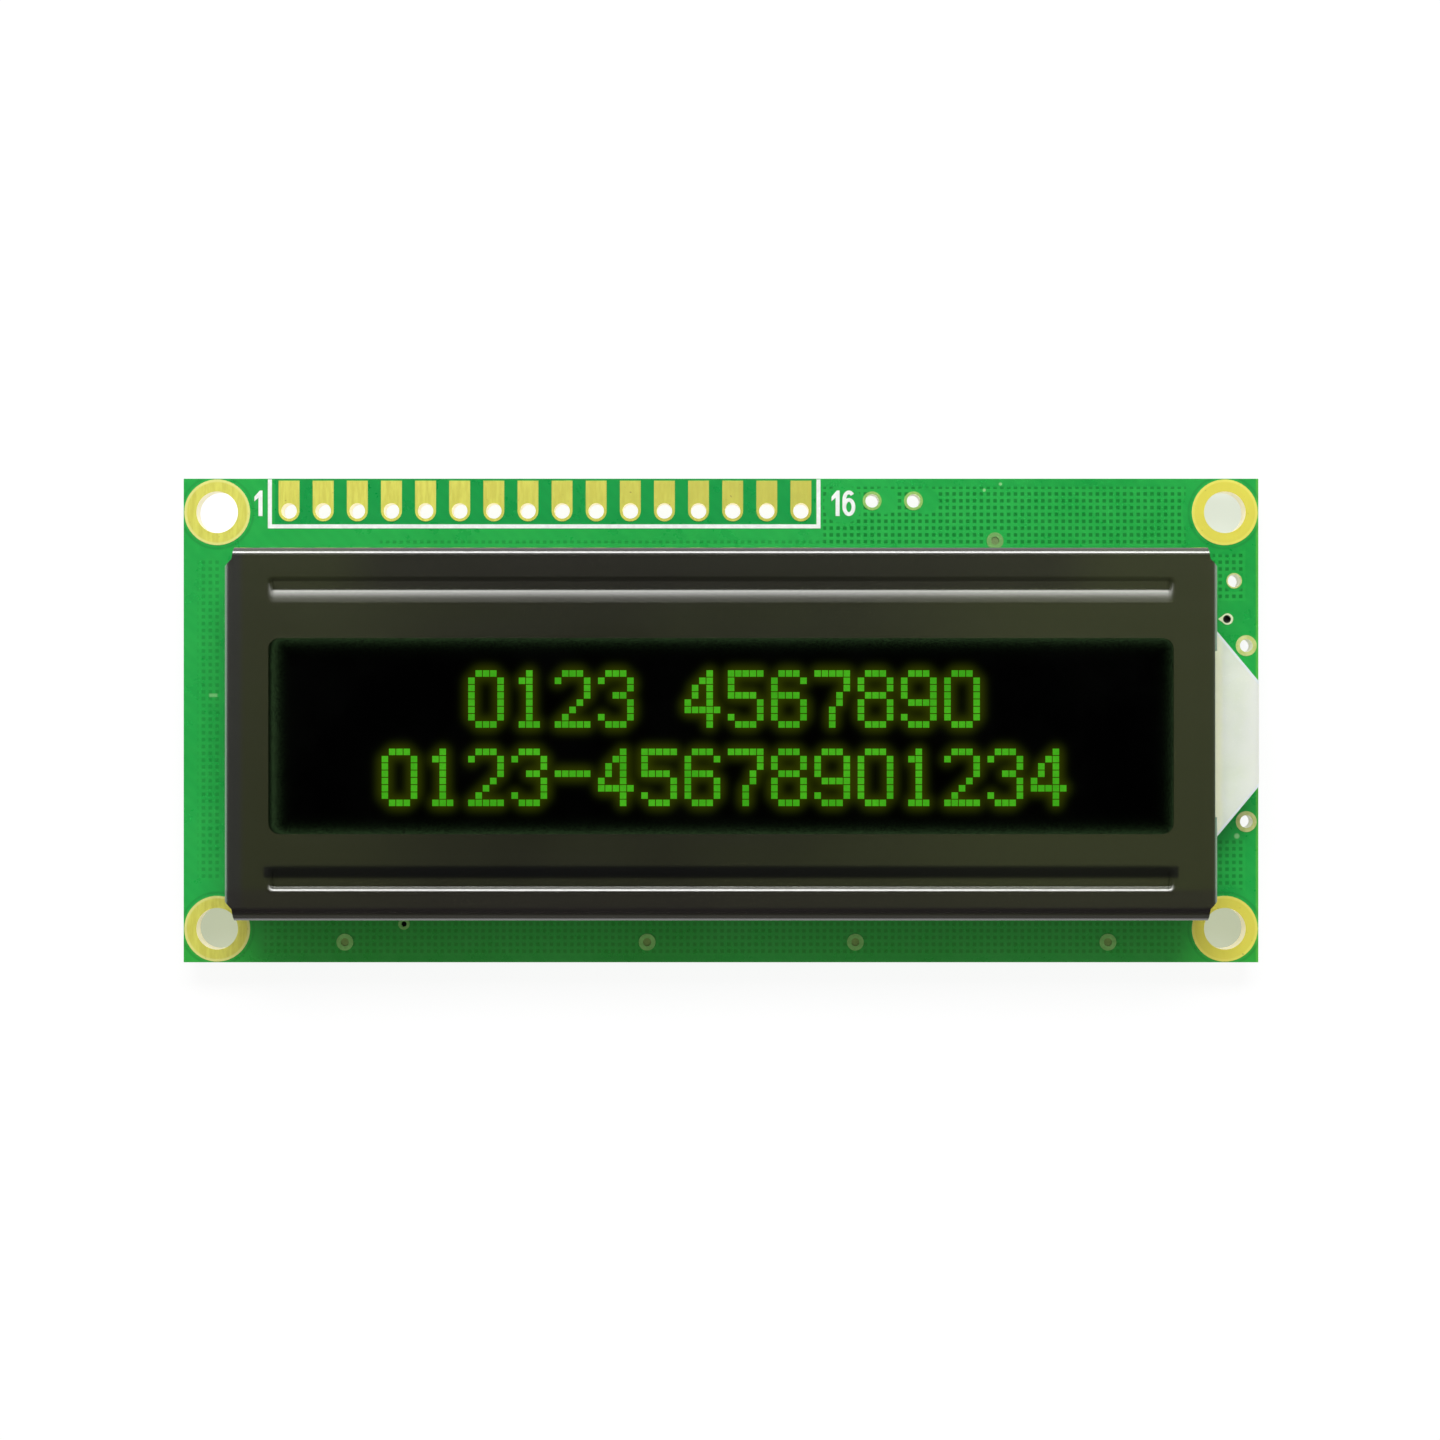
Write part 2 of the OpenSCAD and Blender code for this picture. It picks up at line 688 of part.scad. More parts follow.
module contact_strip(side) {
    z_foot = z_board + plating_t;
    color([0.75, 0.55, 0.5])
        translate([0, -bezel_drop + side * strip_dy, 0])
            slab(strip_l, strip_t, z_foot, z_front_glass - z_foot);
}

// ---------------------------------------------------------------- backlight

module diffuser_film() {
    color([0.95, 0.95, 0.92])
        translate([guide_x0 + film_inset_x, -bezel_drop - film_h / 2, z_diffuser])
            cube([film_w, film_h, diffuser_t]);
}

// A clear slab that narrows to the lamp, which sits in a pocket under its tip
module light_guide() {
    color([0.86, 0.89, 0.82])
        translate([0, -bezel_drop, 0])
            difference() {
                translate([0, 0, z_guide])
                    linear_extrude(guide_t)
                        polygon([
                            [guide_x0, -guide_h / 2],
                            [taper_x, -guide_h / 2],
                            [guide_x1, -lamp_end_w / 2],
                            [guide_x1, lamp_end_w / 2],
                            [taper_x, guide_h / 2],
                            [guide_x0, guide_h / 2]
                        ]);
                translate([lamp_x0, -lamp_w / 2 - lamp_clear, z_guide - through])
                    cube([lamp_d + 4 * lamp_clear, lamp_w + 2 * lamp_clear,
                          lamp_h + lamp_clear + through]);
            }
}

module reflector_film() {
    color([0.97, 0.97, 0.97])
        translate([guide_x0 + film_inset_x, -bezel_drop - film_h / 2, z_board])
            cube([film_w, film_h, reflector_t]);
}

module backlight_lamp() {
    color([0.95, 0.95, 0.85])
        translate([lamp_x0, -bezel_drop - lamp_w / 2, z_guide])
            cube([lamp_d, lamp_w, lamp_h]);
}

module lamp_leads() {
    color([0.8, 0.8, 0.82])
        at_each(lead_places)
            translate([0, 0, z_board_back - lead_out])
                cylinder(d = lead_d, h = z_guide - z_board_back + lead_out);
}

module lamp_solder() {
    collar = 0.15;
    color([0.8, 0.8, 0.82])
        at_each(lead_places)
            translate([0, 0, z_board_back - plating_t - solder_h])
                difference() {
                    cylinder(d1 = lead_d + 2 * collar, d2 = lead_ring_d, h = solder_h);
                    translate([0, 0, -through]) cylinder(d = lead_d, h = solder_h + 2 * through);
                }
}

// ---------------------------------------------------------------- parts on the back

// A cap of resin hanging from the board's back, hollow where the chip lies
module potting_dome(place, d, h, die) {
    r = (pow(d / 2, 2) + pow(h, 2)) / (2 * h);
    color([0.06, 0.06, 0.06])
        translate([place[0], place[1], z_board_back])
            difference() {
                rotate_extrude()
                    intersection() {
                        translate([0, r - h]) circle(r = r, $fn = 360);
                        translate([0, -h - through]) square([d, h + through]);
                    }
                translate([-die / 2, -die / 2, -die_t]) cube([die, die, die_t + through]);
            }
}

module bare_chip(place, w) {
    color([0.35, 0.35, 0.4])
        translate([place[0], place[1], 0]) slab(w, w, z_board_back - die_t, die_t);
}

// A block with a metal cap round each end
module chip_part(place, h) {
    cap_l = 0.35;
    cap_t = 0.03;
    translate([place[0], place[1], z_board_back - h])
        rotate([0, 0, place[2]]) {
            slab(chip_l - 2 * cap_t, chip_w - 2 * cap_t, cap_t, h - cap_t);
            for (s = [-1, 1])
                translate([s * (chip_l - cap_l) / 2, 0, 0]) slab(cap_l, chip_w, 0, h);
        }
}

// ---------------------------------------------------------------- assembly

board();
mounting_rings();
connection_pads();
spare_pads();
side_pads();
plated_vias();
contact_fingers(1);  // contact_fingers_upper
contact_fingers(-1);  // contact_fingers_lower
jumper_pads();
bezel();
front_polarizer();
front_glass();
segment_electrodes();
liquid_crystal();
common_electrodes();
edge_seal();
fill_plug();
rear_glass();
rear_polarizer();
diffuser_film();
light_guide();
reflector_film();
backlight_lamp();
lamp_leads();
lamp_solder();
contact_strip(1);  // contact_strip_upper
contact_strip(-1);  // contact_strip_lower
bare_chip(dome_place, die_w);  // controller_chip
bare_chip(small_dome_place, small_die_w);  // driver_chip
potting_dome(dome_place, dome_d, dome_h, die_w);  // controller_dome
potting_dome(small_dome_place, small_dome_d, small_dome_h, small_die_w);  // driver_dome
for (i = [1 : 9])
    color([0.1, 0.1, 0.11]) chip_part(resistor_places[i - 1], resistor_h);
for (i = [1 : 3])
    color([0.62, 0.5, 0.36]) chip_part(capacitor_places[i - 1], capacitor_h);
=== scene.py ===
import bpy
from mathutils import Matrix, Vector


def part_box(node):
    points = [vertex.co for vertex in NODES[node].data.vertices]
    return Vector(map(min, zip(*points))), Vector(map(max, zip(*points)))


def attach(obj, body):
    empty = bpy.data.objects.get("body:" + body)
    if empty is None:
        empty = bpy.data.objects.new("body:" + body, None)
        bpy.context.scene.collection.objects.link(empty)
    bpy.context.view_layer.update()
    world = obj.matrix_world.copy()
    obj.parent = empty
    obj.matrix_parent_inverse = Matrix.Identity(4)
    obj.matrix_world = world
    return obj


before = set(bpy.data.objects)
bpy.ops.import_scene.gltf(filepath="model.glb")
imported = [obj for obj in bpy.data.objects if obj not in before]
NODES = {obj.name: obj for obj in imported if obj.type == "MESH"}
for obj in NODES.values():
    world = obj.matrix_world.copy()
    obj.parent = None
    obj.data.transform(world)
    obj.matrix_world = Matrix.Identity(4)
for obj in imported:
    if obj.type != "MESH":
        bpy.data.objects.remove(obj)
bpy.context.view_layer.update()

import math

import bmesh
import bpy
import numpy as np
from mathutils import Vector

MM = 0.001
BLACK = (0.0, 0.0, 0.0)

# Places taken from the frame, in metres
BOARD_LO, BOARD_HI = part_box("board")
BEZEL_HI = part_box("bezel")[1]
POLARIZER_LO, POLARIZER_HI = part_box("front_polarizer")
Z_TOP = BOARD_HI.z           # the board's upper face
Z_BACK = BOARD_LO.z          # the board's lower face
FILM_Z = POLARIZER_HI.z      # the upper face of the film in the window
POLARIZER_LAP = 1.1 * MM     # the film runs this far beyond the window
WIN_X0, WIN_X1 = POLARIZER_LO.x + POLARIZER_LAP, POLARIZER_HI.x - POLARIZER_LAP
WIN_Y0, WIN_Y1 = POLARIZER_LO.y + POLARIZER_LAP, POLARIZER_HI.y - POLARIZER_LAP

# Places in the board's plane in millimetres, the unit that the materials work in
HOLE_INSET = 2.5
HOLE_X = BOARD_HI.x / MM - HOLE_INSET   # the mounting holes' centres
HOLE_Y = BOARD_HI.y / MM - HOLE_INSET
WALL_Y = BOARD_LO.y / MM + 3.55         # the outer face of the bezel's lower wall
LAMP_SIDE = (30.0, 31.0)                # finishes change to those beside the lamp end
WIDE_VIAS = ((-28.0, -16.5), (-5.5, -16.5), (10.0, -16.5), (28.8, -16.5), (20.4, 13.375))
NARROW_VIAS = ((37.7, 7.55), (-23.6, -15.15))


# ------------------------------------------------------------------ node trees

class Nodes:
    """A shader's node tree, built socket by socket."""

    def __init__(self, tree):
        self.tree = tree
        self.tree.nodes.clear()

    def node(self, kind, ins=None, **props):
        new = self.tree.nodes.new(kind)
        for key, value in props.items():
            setattr(new, key, value)
        for key, value in (ins or {}).items():
            if isinstance(value, bpy.types.NodeSocket):
                self.tree.links.new(value, new.inputs[key])
            else:
                new.inputs[key].default_value = value
        return new

    def math(self, op, *values):
        return self.node("ShaderNodeMath", dict(enumerate(values)), operation=op).outputs[0]

    def times(self, a, b):
        return self.math("MULTIPLY", a, b)

    def union(self, *masks):
        out = masks[0]
        for mask in masks[1:]:
            out = self.math("MAXIMUM", out, mask)
        return out

    def step(self, value, lo, hi, to_lo=0.0, to_hi=1.0):
        """Smooth ramp of value from lo to hi."""
        ramp = self.node("ShaderNodeMapRange", {"Value": value, "From Min": lo, "From Max": hi,
                                                "To Min": to_lo, "To Max": to_hi},
                         interpolation_type="SMOOTHSTEP")
        return ramp.outputs["Result"]

    def vary(self, noise, to_lo=0.0, to_hi=1.0):
        """The middle of a noise's range, spread from to_lo to to_hi."""
        return self.step(noise, 0.3, 0.7, to_lo, to_hi)

    def band(self, value, lo, hi, soft):
        """1 where value is between lo and hi, with soft edges."""
        up = self.step(value, lo - soft, lo + soft)
        down = self.step(value, hi - soft, hi + soft, 1.0, 0.0)
        return self.times(up, down)

    def length(self, dx, dy):
        return self.math("SQRT", self.math("ADD", self.times(dx, dx), self.times(dy, dy)))


class Tree(Nodes):
    """A material, with the row frame's x and y in millimetres."""

    def __init__(self, name):
        self.mat = bpy.data.materials.new(name)
        self.mat.use_nodes = True
        super().__init__(self.mat.node_tree)
        self.coord = self.node("ShaderNodeTexCoord")
        self.mm = self.node("ShaderNodeVectorMath",
                            {0: self.coord.outputs["Object"], "Scale": 1 / MM},
                            operation="SCALE").outputs[0]
        self.x, self.y = self.node("ShaderNodeSeparateXYZ", {0: self.mm}).outputs[:2]

    def noise(self, scale, detail=3.0, rough=0.5, stretch=None):
        """Noise in the row frame: scale is in features per millimetre."""
        where = self.mm
        if stretch:
            where = self.node("ShaderNodeVectorMath", {0: self.mm, 1: stretch},
                              operation="MULTIPLY").outputs[0]
        return self.node("ShaderNodeTexNoise", {"Vector": where, "Scale": scale,
                                                "Detail": detail, "Roughness": rough,
                                                "Distortion": 0.0}).outputs["Fac"]

    def mix(self, fac, a, b, blend="MIX"):
        def rgba(v):
            return v if isinstance(v, bpy.types.NodeSocket) else (*v, 1.0)
        mixer = self.node("ShaderNodeMix", data_type="RGBA", blend_type=blend)
        for key, value in (("Factor", fac), ("A", rgba(a)), ("B", rgba(b))):
            socket = [s for s in mixer.inputs if s.name == key and s.enabled][0]
            if isinstance(value, bpy.types.NodeSocket):
                self.tree.links.new(value, socket)
            else:
                socket.default_value = value
        return [s for s in mixer.outputs if s.enabled][0]

    def bump(self, height, distance, strength=1.0):
        return self.node("ShaderNodeBump", {"Height": height, "Distance": distance,
                                            "Strength": strength}).outputs[0]

    def box(self, x0, x1, y0, y1, soft=0.1):
        """1 inside a rectangle of the board's plane."""
        return self.times(self.band(self.x, x0, x1, soft), self.band(self.y, y0, y1, soft))

    def around(self, x, y):
        """Distance in the board's plane from a point."""
        return self.length(self.math("SUBTRACT", self.x, x), self.math("SUBTRACT", self.y, y))

    def around_four(self, x, y):
        """Distance in the board's plane from the nearest of four points, at +-x and +-y."""
        return self.length(self.math("SUBTRACT", self.math("ABSOLUTE", self.x), x),
                           self.math("SUBTRACT", self.math("ABSOLUTE", self.y), y))

    def upright(self):
        """1 on faces that stand upright, 0 on those that lie flat."""
        normal = self.node("ShaderNodeSeparateXYZ", {0: self.coord.outputs["Normal"]})
        return self.step(self.math("ABSOLUTE", normal.outputs[2]), 0.4, 0.6, 1.0, 0.0)

    def finish(self, color, rough, metallic=0.0, normal=None, **sockets):
        ins = {"Base Color": color if isinstance(color, bpy.types.NodeSocket) else (*color, 1.0),
               "Roughness": rough, "Metallic": metallic}
        if normal is not None:
            ins["Normal"] = normal
        for key, value in sockets.items():
            ins[key.replace("_", " ")] = value
        shader = self.node("ShaderNodeBsdfPrincipled", ins)
        self.node("ShaderNodeOutputMaterial", {"Surface": shader.outputs[0]})
        return self.mat


# ------------------------------------------------------------------ materials

def plain(name, color, rough, metallic=0.0, spread=0.12, scale=1.5, bump=0.004, **sockets):
    """A finish with soft variation of colour and roughness, and a fine grain."""
    t = Tree(name)
    soft = t.noise(scale, 4.0, 0.55)
    fine = t.noise(scale * 9.0, 3.0, 0.6)
    dark = tuple(c * (1.0 - spread) for c in color)
    lift = tuple(min(1.0, c * (1.0 + spread)) for c in color)
    tone = t.mix(t.vary(soft), dark, lift)
    rough_map = t.vary(fine, rough * 0.85, min(1.0, rough * 1.15))
    normal = t.bump(fine, bump * MM)
    return t.finish(tone, rough_map, metallic, normal, **sockets)


# Hatched copper under the lacquer: x from and to, y from and to, and how strongly it shows
HATCHED = ((7.6, 34.6, 13.0, 17.4, 1.0), (-38.95, -37.3, -11.9, 12.0, 0.5),
           (-34.0, 34.2, -17.5, -14.7, 0.65), (36.6, 39.05, 8.9, 12.9, 1.0),
           (36.6, 39.05, -13.4, -8.9, 0.75), (-25.4, 7.7, 12.95, 13.42, 0.6))
# Places kept clear of the hatch: the printed number, the spare pads, the upper via and a
# place at the right-hand edge: x, y and radius
HATCH_CLEAR = ((9.1, 16.1, 1.45), (12.15, 16.35, 1.0), (15.23, 16.35, 1.0),
               (*WIDE_VIAS[-1], 0.85), (38.2, 10.4, 0.8))
HATCH_PITCH = 0.508


def copper_hatch(t):
    """Masks of the hatched copper and of the squares left open in it."""
    def offset(value, origin):
        shifted = t.math("SUBTRACT", value, origin)
        return t.math("ABSOLUTE", t.math("WRAP", shifted, -HATCH_PITCH / 2, HATCH_PITCH / 2))
    squares = t.times(t.step(offset(t.x, 0.08), 0.10, 0.17, 1.0, 0.0),
                      t.step(offset(t.y, 0.1), 0.10, 0.17, 1.0, 0.0))
    hatch = t.union(*(t.times(t.box(*area), share) for *area, share in HATCHED))
    for x, y, r in HATCH_CLEAR:
        hatch = t.times(hatch, t.step(t.around(x, y), r - 0.1, r + 0.1))
    hatch = t.times(hatch, t.step(t.around_four(HOLE_X, HOLE_Y), 3.0, 3.3))
    return hatch, t.times(hatch, squares)


def use_marks(t):
    """A light scratch on the left, specks and a dried drop on the right."""
    marks = t.times(t.box(-38.1, -37.5, 1.75, 2.0, 0.06), 0.5)
    for x, y, r in ((19.6, 17.15, 0.12), (20.8, 17.6, 0.12), (38.4, -8.6, 0.2)):
        marks = t.union(marks, t.step(t.around(x, y), r * 0.6, r * 1.3, 0.7, 0.0))
    return marks


def solder_mask():
    """Green lacquer over copper, and bare laminate at the board's cut edge."""
    t = Tree("solder_mask")
    hatch, squares = copper_hatch(t)
    broad = t.noise(0.055, 3.0, 0.5)
    cloud = t.noise(0.6, 4.0, 0.6)
    weave = t.node("ShaderNodeTexWave", {"Vector": t.mm, "Scale": 0.55, "Distortion": 0.6,
                                         "Detail": 1.0}, bands_direction="DIAGONAL").outputs["Fac"]
    tone = t.mix(t.step(broad, 0.35, 0.65), (0.006, 0.345, 0.050), (0.016, 0.420, 0.070))
    tone = t.mix(t.step(cloud, 0.25, 0.8, 0.0, 0.35), tone, (0.022, 0.450, 0.064))
    # no copper lies between the connection pads
    bare = t.box(-33.2, 7.0, 14.6, 19.0, 0.06)
    tone = t.mix(t.times(bare, 0.75), tone, (0.002, 0.300, 0.058))
    # the squares left open in the hatch show darker
    tone = t.mix(t.times(hatch, 0.35), tone, (0.026, 0.500, 0.070))
    tone = t.mix(t.times(squares, 0.85), tone, (0.002, 0.185, 0.022))
    tone = t.mix(t.times(weave, 0.07), tone, (0.002, 0.16, 0.03))
    # painted shade tint: the strip below the bezel, in its shadow, is yellower
    low = t.step(t.y, -14.0, -14.8, 0.0, 1.0)
    tone = t.mix(t.times(low, 0.3), tone, (0.060, 0.400, 0.010))
    # the lacquer stops just short of the right-hand edge
    cut = t.step(t.x, 39.78, 39.86, 0.0, 0.7)
    tone = t.mix(cut, tone, (0.10, 0.50, 0.05))
    # painted shade: a darker rim on the lacquer round the mounting rings, at their edge
    rim = t.band(t.around_four(HOLE_X, HOLE_Y), 2.6, 2.78, 0.05)
    tone = t.mix(t.times(rim, 0.25), tone, (0.008, 0.130, 0.022))
    tone = t.mix(use_marks(t), tone, (0.35, 0.70, 0.30))
    # the cut edge of the laminate: straw green with its glass layers
    side = t.upright()
    layers = t.noise(7.0, 2.0, 0.5, (0.12, 0.12, 1.0))
    laminate = t.mix(t.step(layers, 0.35, 0.65), (0.20, 0.36, 0.06), (0.44, 0.54, 0.16))
    tone = t.mix(side, tone, laminate)
    rough = t.math("ADD", t.vary(cloud, 0.26, 0.36), t.times(side, 0.4))
    return t.finish(tone, rough, 0.0, t.bump(cloud, 0.01 * MM, 0.6), IOR=1.5)


def gold():
    """Thin gold over copper, streaked along Y, with a painted highlight as a paler rim round the
    mounting holes.
    """
    t = Tree("gold_plating")
    streak = t.noise(1.6, 4.0, 0.6, (2.6, 0.35, 1.0))
    cloud = t.noise(0.5, 4.0, 0.6)
    fine = t.noise(14.0, 3.0, 0.6)
    base = t.mix(t.step(streak, 0.32, 0.68), (0.70, 0.66, 0.10), (0.80, 0.78, 0.14))
    # the pads grow browner towards the right-hand end of the row
    brown = t.step(t.x, -26.0, 8.0, 0.0, 0.9)
    base = t.mix(t.times(brown, t.step(cloud, 0.2, 0.8, 0.6, 1.0)), base, (0.56, 0.54, 0.09))
    # painted highlight: a paler rim round the mounting holes
    rim = t.band(t.around_four(HOLE_X, HOLE_Y), 2.26, 2.5, 0.06)
    base = t.mix(rim, base, (0.84, 0.82, 0.26))
    # the two rings on the right are a warmer yellow
    base = t.mix(t.step(t.x, *LAMP_SIDE, 0.0, 0.7), base, (0.90, 0.80, 0.09))
    spots = t.step(t.noise(3.2, 2.0, 0.5), 0.70, 0.76, 0.0, 0.6)
    base = t.mix(spots, base, (0.25, 0.16, 0.04))
    # painted light: the barrels' walls, lit by the paper below, get a paler colour and a little
    # light of their own
    wall = t.upright()
    base = t.mix(wall, base, (0.90, 0.86, 0.62))
    light = t.mix(wall, BLACK, (0.20, 0.17, 0.11))
    return t.finish(base, t.vary(fine, 0.34, 0.5), 0.2, t.bump(fine, 0.006 * MM),
                    Emission_Color=light, Emission_Strength=1.0)


def via_plating():
    """Green where the lacquer runs over the vias, pale beside the lamp end."""
    t = Tree("via_plating")
    cloud = t.noise(2.2, 4.0, 0.6)
    fine = t.noise(18.0, 3.0, 0.6)
    base = t.mix(t.vary(cloud), (0.210, 0.540, 0.120), (0.290, 0.660, 0.170))
    base = t.mix(t.step(t.y, 0.0, 1.0), base, (0.180, 0.410, 0.115))
    base = t.mix(t.step(t.x, *LAMP_SIDE), base, (0.80, 0.86, 0.56))
    # painted shade: the narrow via beside the lamp end is near-black inside
    inside = t.step(t.around(37.66, 7.55), 0.27, 0.31, 1.0, 0.0)
    base = t.mix(inside, base, (0.004, 0.008, 0.003))
    return t.finish(base, t.vary(fine, 0.34, 0.46), 0.1, t.bump(fine, 0.01 * MM))


def via_plug():
    """Lacquer in the wide vias, painted shade in the two narrow ones."""
    t = Tree("via_fill")
    cloud = t.noise(2.6, 4.0, 0.6)
    fine = t.noise(18.0, 3.0, 0.6)
    base = t.mix(t.vary(cloud), (0.190, 0.330, 0.060), (0.240, 0.400, 0.090))
    base = t.mix(t.step(t.y, 8.0, 9.0), base, (0.155, 0.250, 0.085))
    # painted shade: the two narrow vias are near-black inside
    narrow = t.union(t.step(t.x, *LAMP_SIDE), t.band(t.y, -15.6, -14.8, 0.1))
    base = t.mix(narrow, base, (0.004, 0.005, 0.003))
    return t.finish(base, t.vary(fine, 0.4, 0.6), 0.0, t.bump(fine, 0.02 * MM))


def pale_plating():
    """Bright rings, greener round the spare pads; their barrels are paler, painted light for light
    running down them.
    """
    t = Tree("pale_plating")
    cloud = t.noise(1.6, 4.0, 0.55)
    fine = t.noise(14.0, 3.0, 0.6)
    base = t.mix(t.vary(cloud), (0.54, 0.62, 0.18), (0.72, 0.74, 0.32))
    base = t.mix(t.step(t.x, *LAMP_SIDE, 1.0, 0.0), base, (0.34, 0.60, 0.15))
    base = t.mix(t.upright(), base, (0.90, 0.92, 0.70))
    return t.finish(base, t.vary(fine, 0.32, 0.44), 0.15, t.bump(fine, 0.01 * MM))


def bezel_steel():
    """Olive-black coating; its bands and tints stand for what it reflects in the photo."""
    t = Tree("bezel_steel")
    broad = t.noise(0.045, 3.0, 0.5)
    streak = t.noise(0.5, 4.0, 0.6, (0.12, 1.0, 1.0))
    fine = t.noise(11.0, 4.0, 0.65)
    grain = t.noise(5.0, 3.0, 0.6, (0.1, 1.0, 1.0))
    tone = t.mix(t.step(broad, 0.35, 0.65), (0.0155, 0.0165, 0.0075), (0.0235, 0.027, 0.0105))
    tone = t.mix(t.step(streak, 0.3, 0.75, 0.0, 0.3), tone, (0.016, 0.016, 0.010))
    # painted reflection: lighter towards both short sides, and violet on the left strip
    ends = t.math("ADD", t.step(t.x, 2.0, 24.0, 0.0, 0.75), t.step(t.x, -16.0, -30.0, 0.0, 0.45))
    tone = t.mix(ends, tone, (0.037, 0.043, 0.0155))
    violet = t.band(t.x, -36.4, -34.6, 0.3)
    tone = t.mix(t.times(violet, 0.7), tone, (0.027, 0.027, 0.028))
    # painted reflection: darker beyond the upper groove
    upper = t.times(t.step(t.y, 9.3, 9.7), t.band(t.x, -26.0, 26.0, 3.0))
    tone = t.mix(t.times(upper, 0.5), tone, (0.012, 0.010, 0.010))
    # painted reflection: a dark and a lighter line along the lower bend
    lower = t.band(t.y, WALL_Y + 0.5, WALL_Y + 0.95, 0.14)
    tone = t.mix(lower, tone, (0.001, 0.001, 0.0005))
    tone = t.mix(t.step(t.y, WALL_Y + 0.32, WALL_Y + 0.5, 1.0, 0.0), tone, (0.085, 0.086, 0.070))
    # the board's green light on the bends at both short sides
    outer = t.step(t.math("ABSOLUTE", t.x), BEZEL_HI.x / MM - 0.28, BEZEL_HI.x / MM - 0.12)
    tone = t.mix(outer, tone, (0.070, 0.200, 0.085))
    # painted reflection: the lower groove's flank is dark, and the strip below it purplish
    groove_reflection = t.box(-33.0, 33.0, -11.35, -10.5, 0.2)
    tone = t.mix(t.times(groove_reflection, 0.8), tone, (0.002, 0.002, 0.004))
    below = t.step(t.y, -12.0, -12.4, 0.0, 0.5)
    tone = t.mix(below, tone, (0.021, 0.017, 0.016))
    rough = t.math("ADD", t.vary(fine, 0.215, 0.235), t.vary(streak, 0.0, 0.015))
    height = t.math("ADD", t.times(fine, 0.5), t.times(grain, 0.5))
    return t.finish(tone, rough, 0.0, t.bump(height, 0.0001 * MM, 0.6), IOR=2.06)


def window_depth(t):
    """Depth from the lit part of the window's edge, which has rounded corners."""
    corner = 0.8
    left = WIN_X0 / MM + 0.36    # the left edge lies in shade
    right = WIN_X1 / MM + 0.13
    in_x = t.math("MINIMUM", t.math("SUBTRACT", t.x, left), t.math("SUBTRACT", right, t.x))
    in_y = t.math("MINIMUM", t.math("SUBTRACT", t.y, WIN_Y0 / MM),
                  t.math("SUBTRACT", WIN_Y1 / MM, t.y))
    qx = t.math("SUBTRACT", corner, in_x)
    qy = t.math("SUBTRACT", corner, in_y)
    out = t.length(t.math("MAXIMUM", qx, 0.0), t.math("MAXIMUM", qy, 0.0))
    out = t.math("ADD", out, t.math("MINIMUM", t.math("MAXIMUM", qx, qy), 0.0))
    return t.math("SUBTRACT", corner, out)


def window_light(t, grain):
    """Stray backlight along the window's edge as fine grain, and halos round the dots."""
    depth = window_depth(t)
    fade = t.math("EXPONENT", t.math("DIVIDE", t.math("MAXIMUM", depth, 0.0), -0.28))
    border = t.times(fade, t.step(depth, -0.32, 0.0, 0.2, 1.0))
    border = t.times(border, t.step(grain, 0.36, 0.64, 0.2, 1.8))
    halo = t.node("ShaderNodeAttribute", attribute_name="halo").outputs["Fac"]
    light = t.mix(border, BLACK, (0.018, 0.037, 0.014))
    return t.mix(1.0, light, t.mix(halo, BLACK, (0.040, 0.056, 0.0)), "ADD")


def display_film(name, glowing):
    """Black film; where it glows, stray light shows on it."""
    t = Tree(name)
    grain = t.noise(12.0, 2.0, 0.7)
    smudge = t.noise(0.18, 4.0, 0.55)
    tone = t.mix(t.step(smudge, 0.35, 0.7), (0.0001, 0.0001, 0.0001), (0.0003, 0.0004, 0.0003))
    sockets = {}
    if glowing:
        sockets = {"Emission_Color": window_light(t, grain), "Emission_Strength": 1.0}
    return t.finish(tone, t.vary(smudge, 0.10, 0.2), 0.0, t.bump(grain, 0.001 * MM), IOR=1.3,
                    **sockets)


def lit_dots():
    t = Tree("lit_dots")
    cloud = t.noise(0.35, 3.0, 0.5)
    fine = t.noise(6.0, 2.0, 0.5)
    light = t.mix(t.vary(cloud), (0.040, 0.350, 0.006), (0.062, 0.440, 0.010))
    light = t.mix(t.step(fine, 0.3, 0.8, 0.0, 0.35), light, (0.030, 0.270, 0.004))
    return t.finish((0.002, 0.006, 0.001), 0.25, Emission_Color=light, Emission_Strength=1.0)


def chip_ends(name, body, axis):
    """A chip part: dark or tan body and tinned ends along the given axis of its box."""
    t = Tree(name)
    split = t.node("ShaderNodeSeparateXYZ", {0: t.coord.outputs["Generated"]})
    along = t.math("ABSOLUTE", t.math("SUBTRACT", split.outputs[axis], 0.5))
    end = t.step(along, 0.322, 0.328)
    fine = t.noise(6.0, 4.0, 0.6)
    tin = t.mix(t.vary(fine), (0.50, 0.50, 0.50), (0.78, 0.78, 0.76))
    skin = t.mix(t.vary(fine), tuple(c * 0.8 for c in body), tuple(c * 1.2 for c in body))
    return t.finish(t.mix(end, skin, tin), t.vary(fine, 0.28, 0.42), end,
                    t.bump(fine, 0.01 * MM))


def rubber_layers():
    """Pale rubber with dark conducting layers, stacked along X."""
    t = Tree("contact_rubber")
    wave = t.node("ShaderNodeTexWave", {"Vector": t.mm, "Scale": 1.6, "Distortion": 0.05},
                  bands_direction="X").outputs["Fac"]
    fine = t.noise(5.0, 3.0, 0.5)
    tone = t.mix(t.step(wave, 0.35, 0.6), (0.60, 0.36, 0.33), (0.03, 0.03, 0.03))
    return t.finish(tone, t.vary(fine, 0.6, 0.75), 0.0, t.bump(fine, 0.01 * MM))


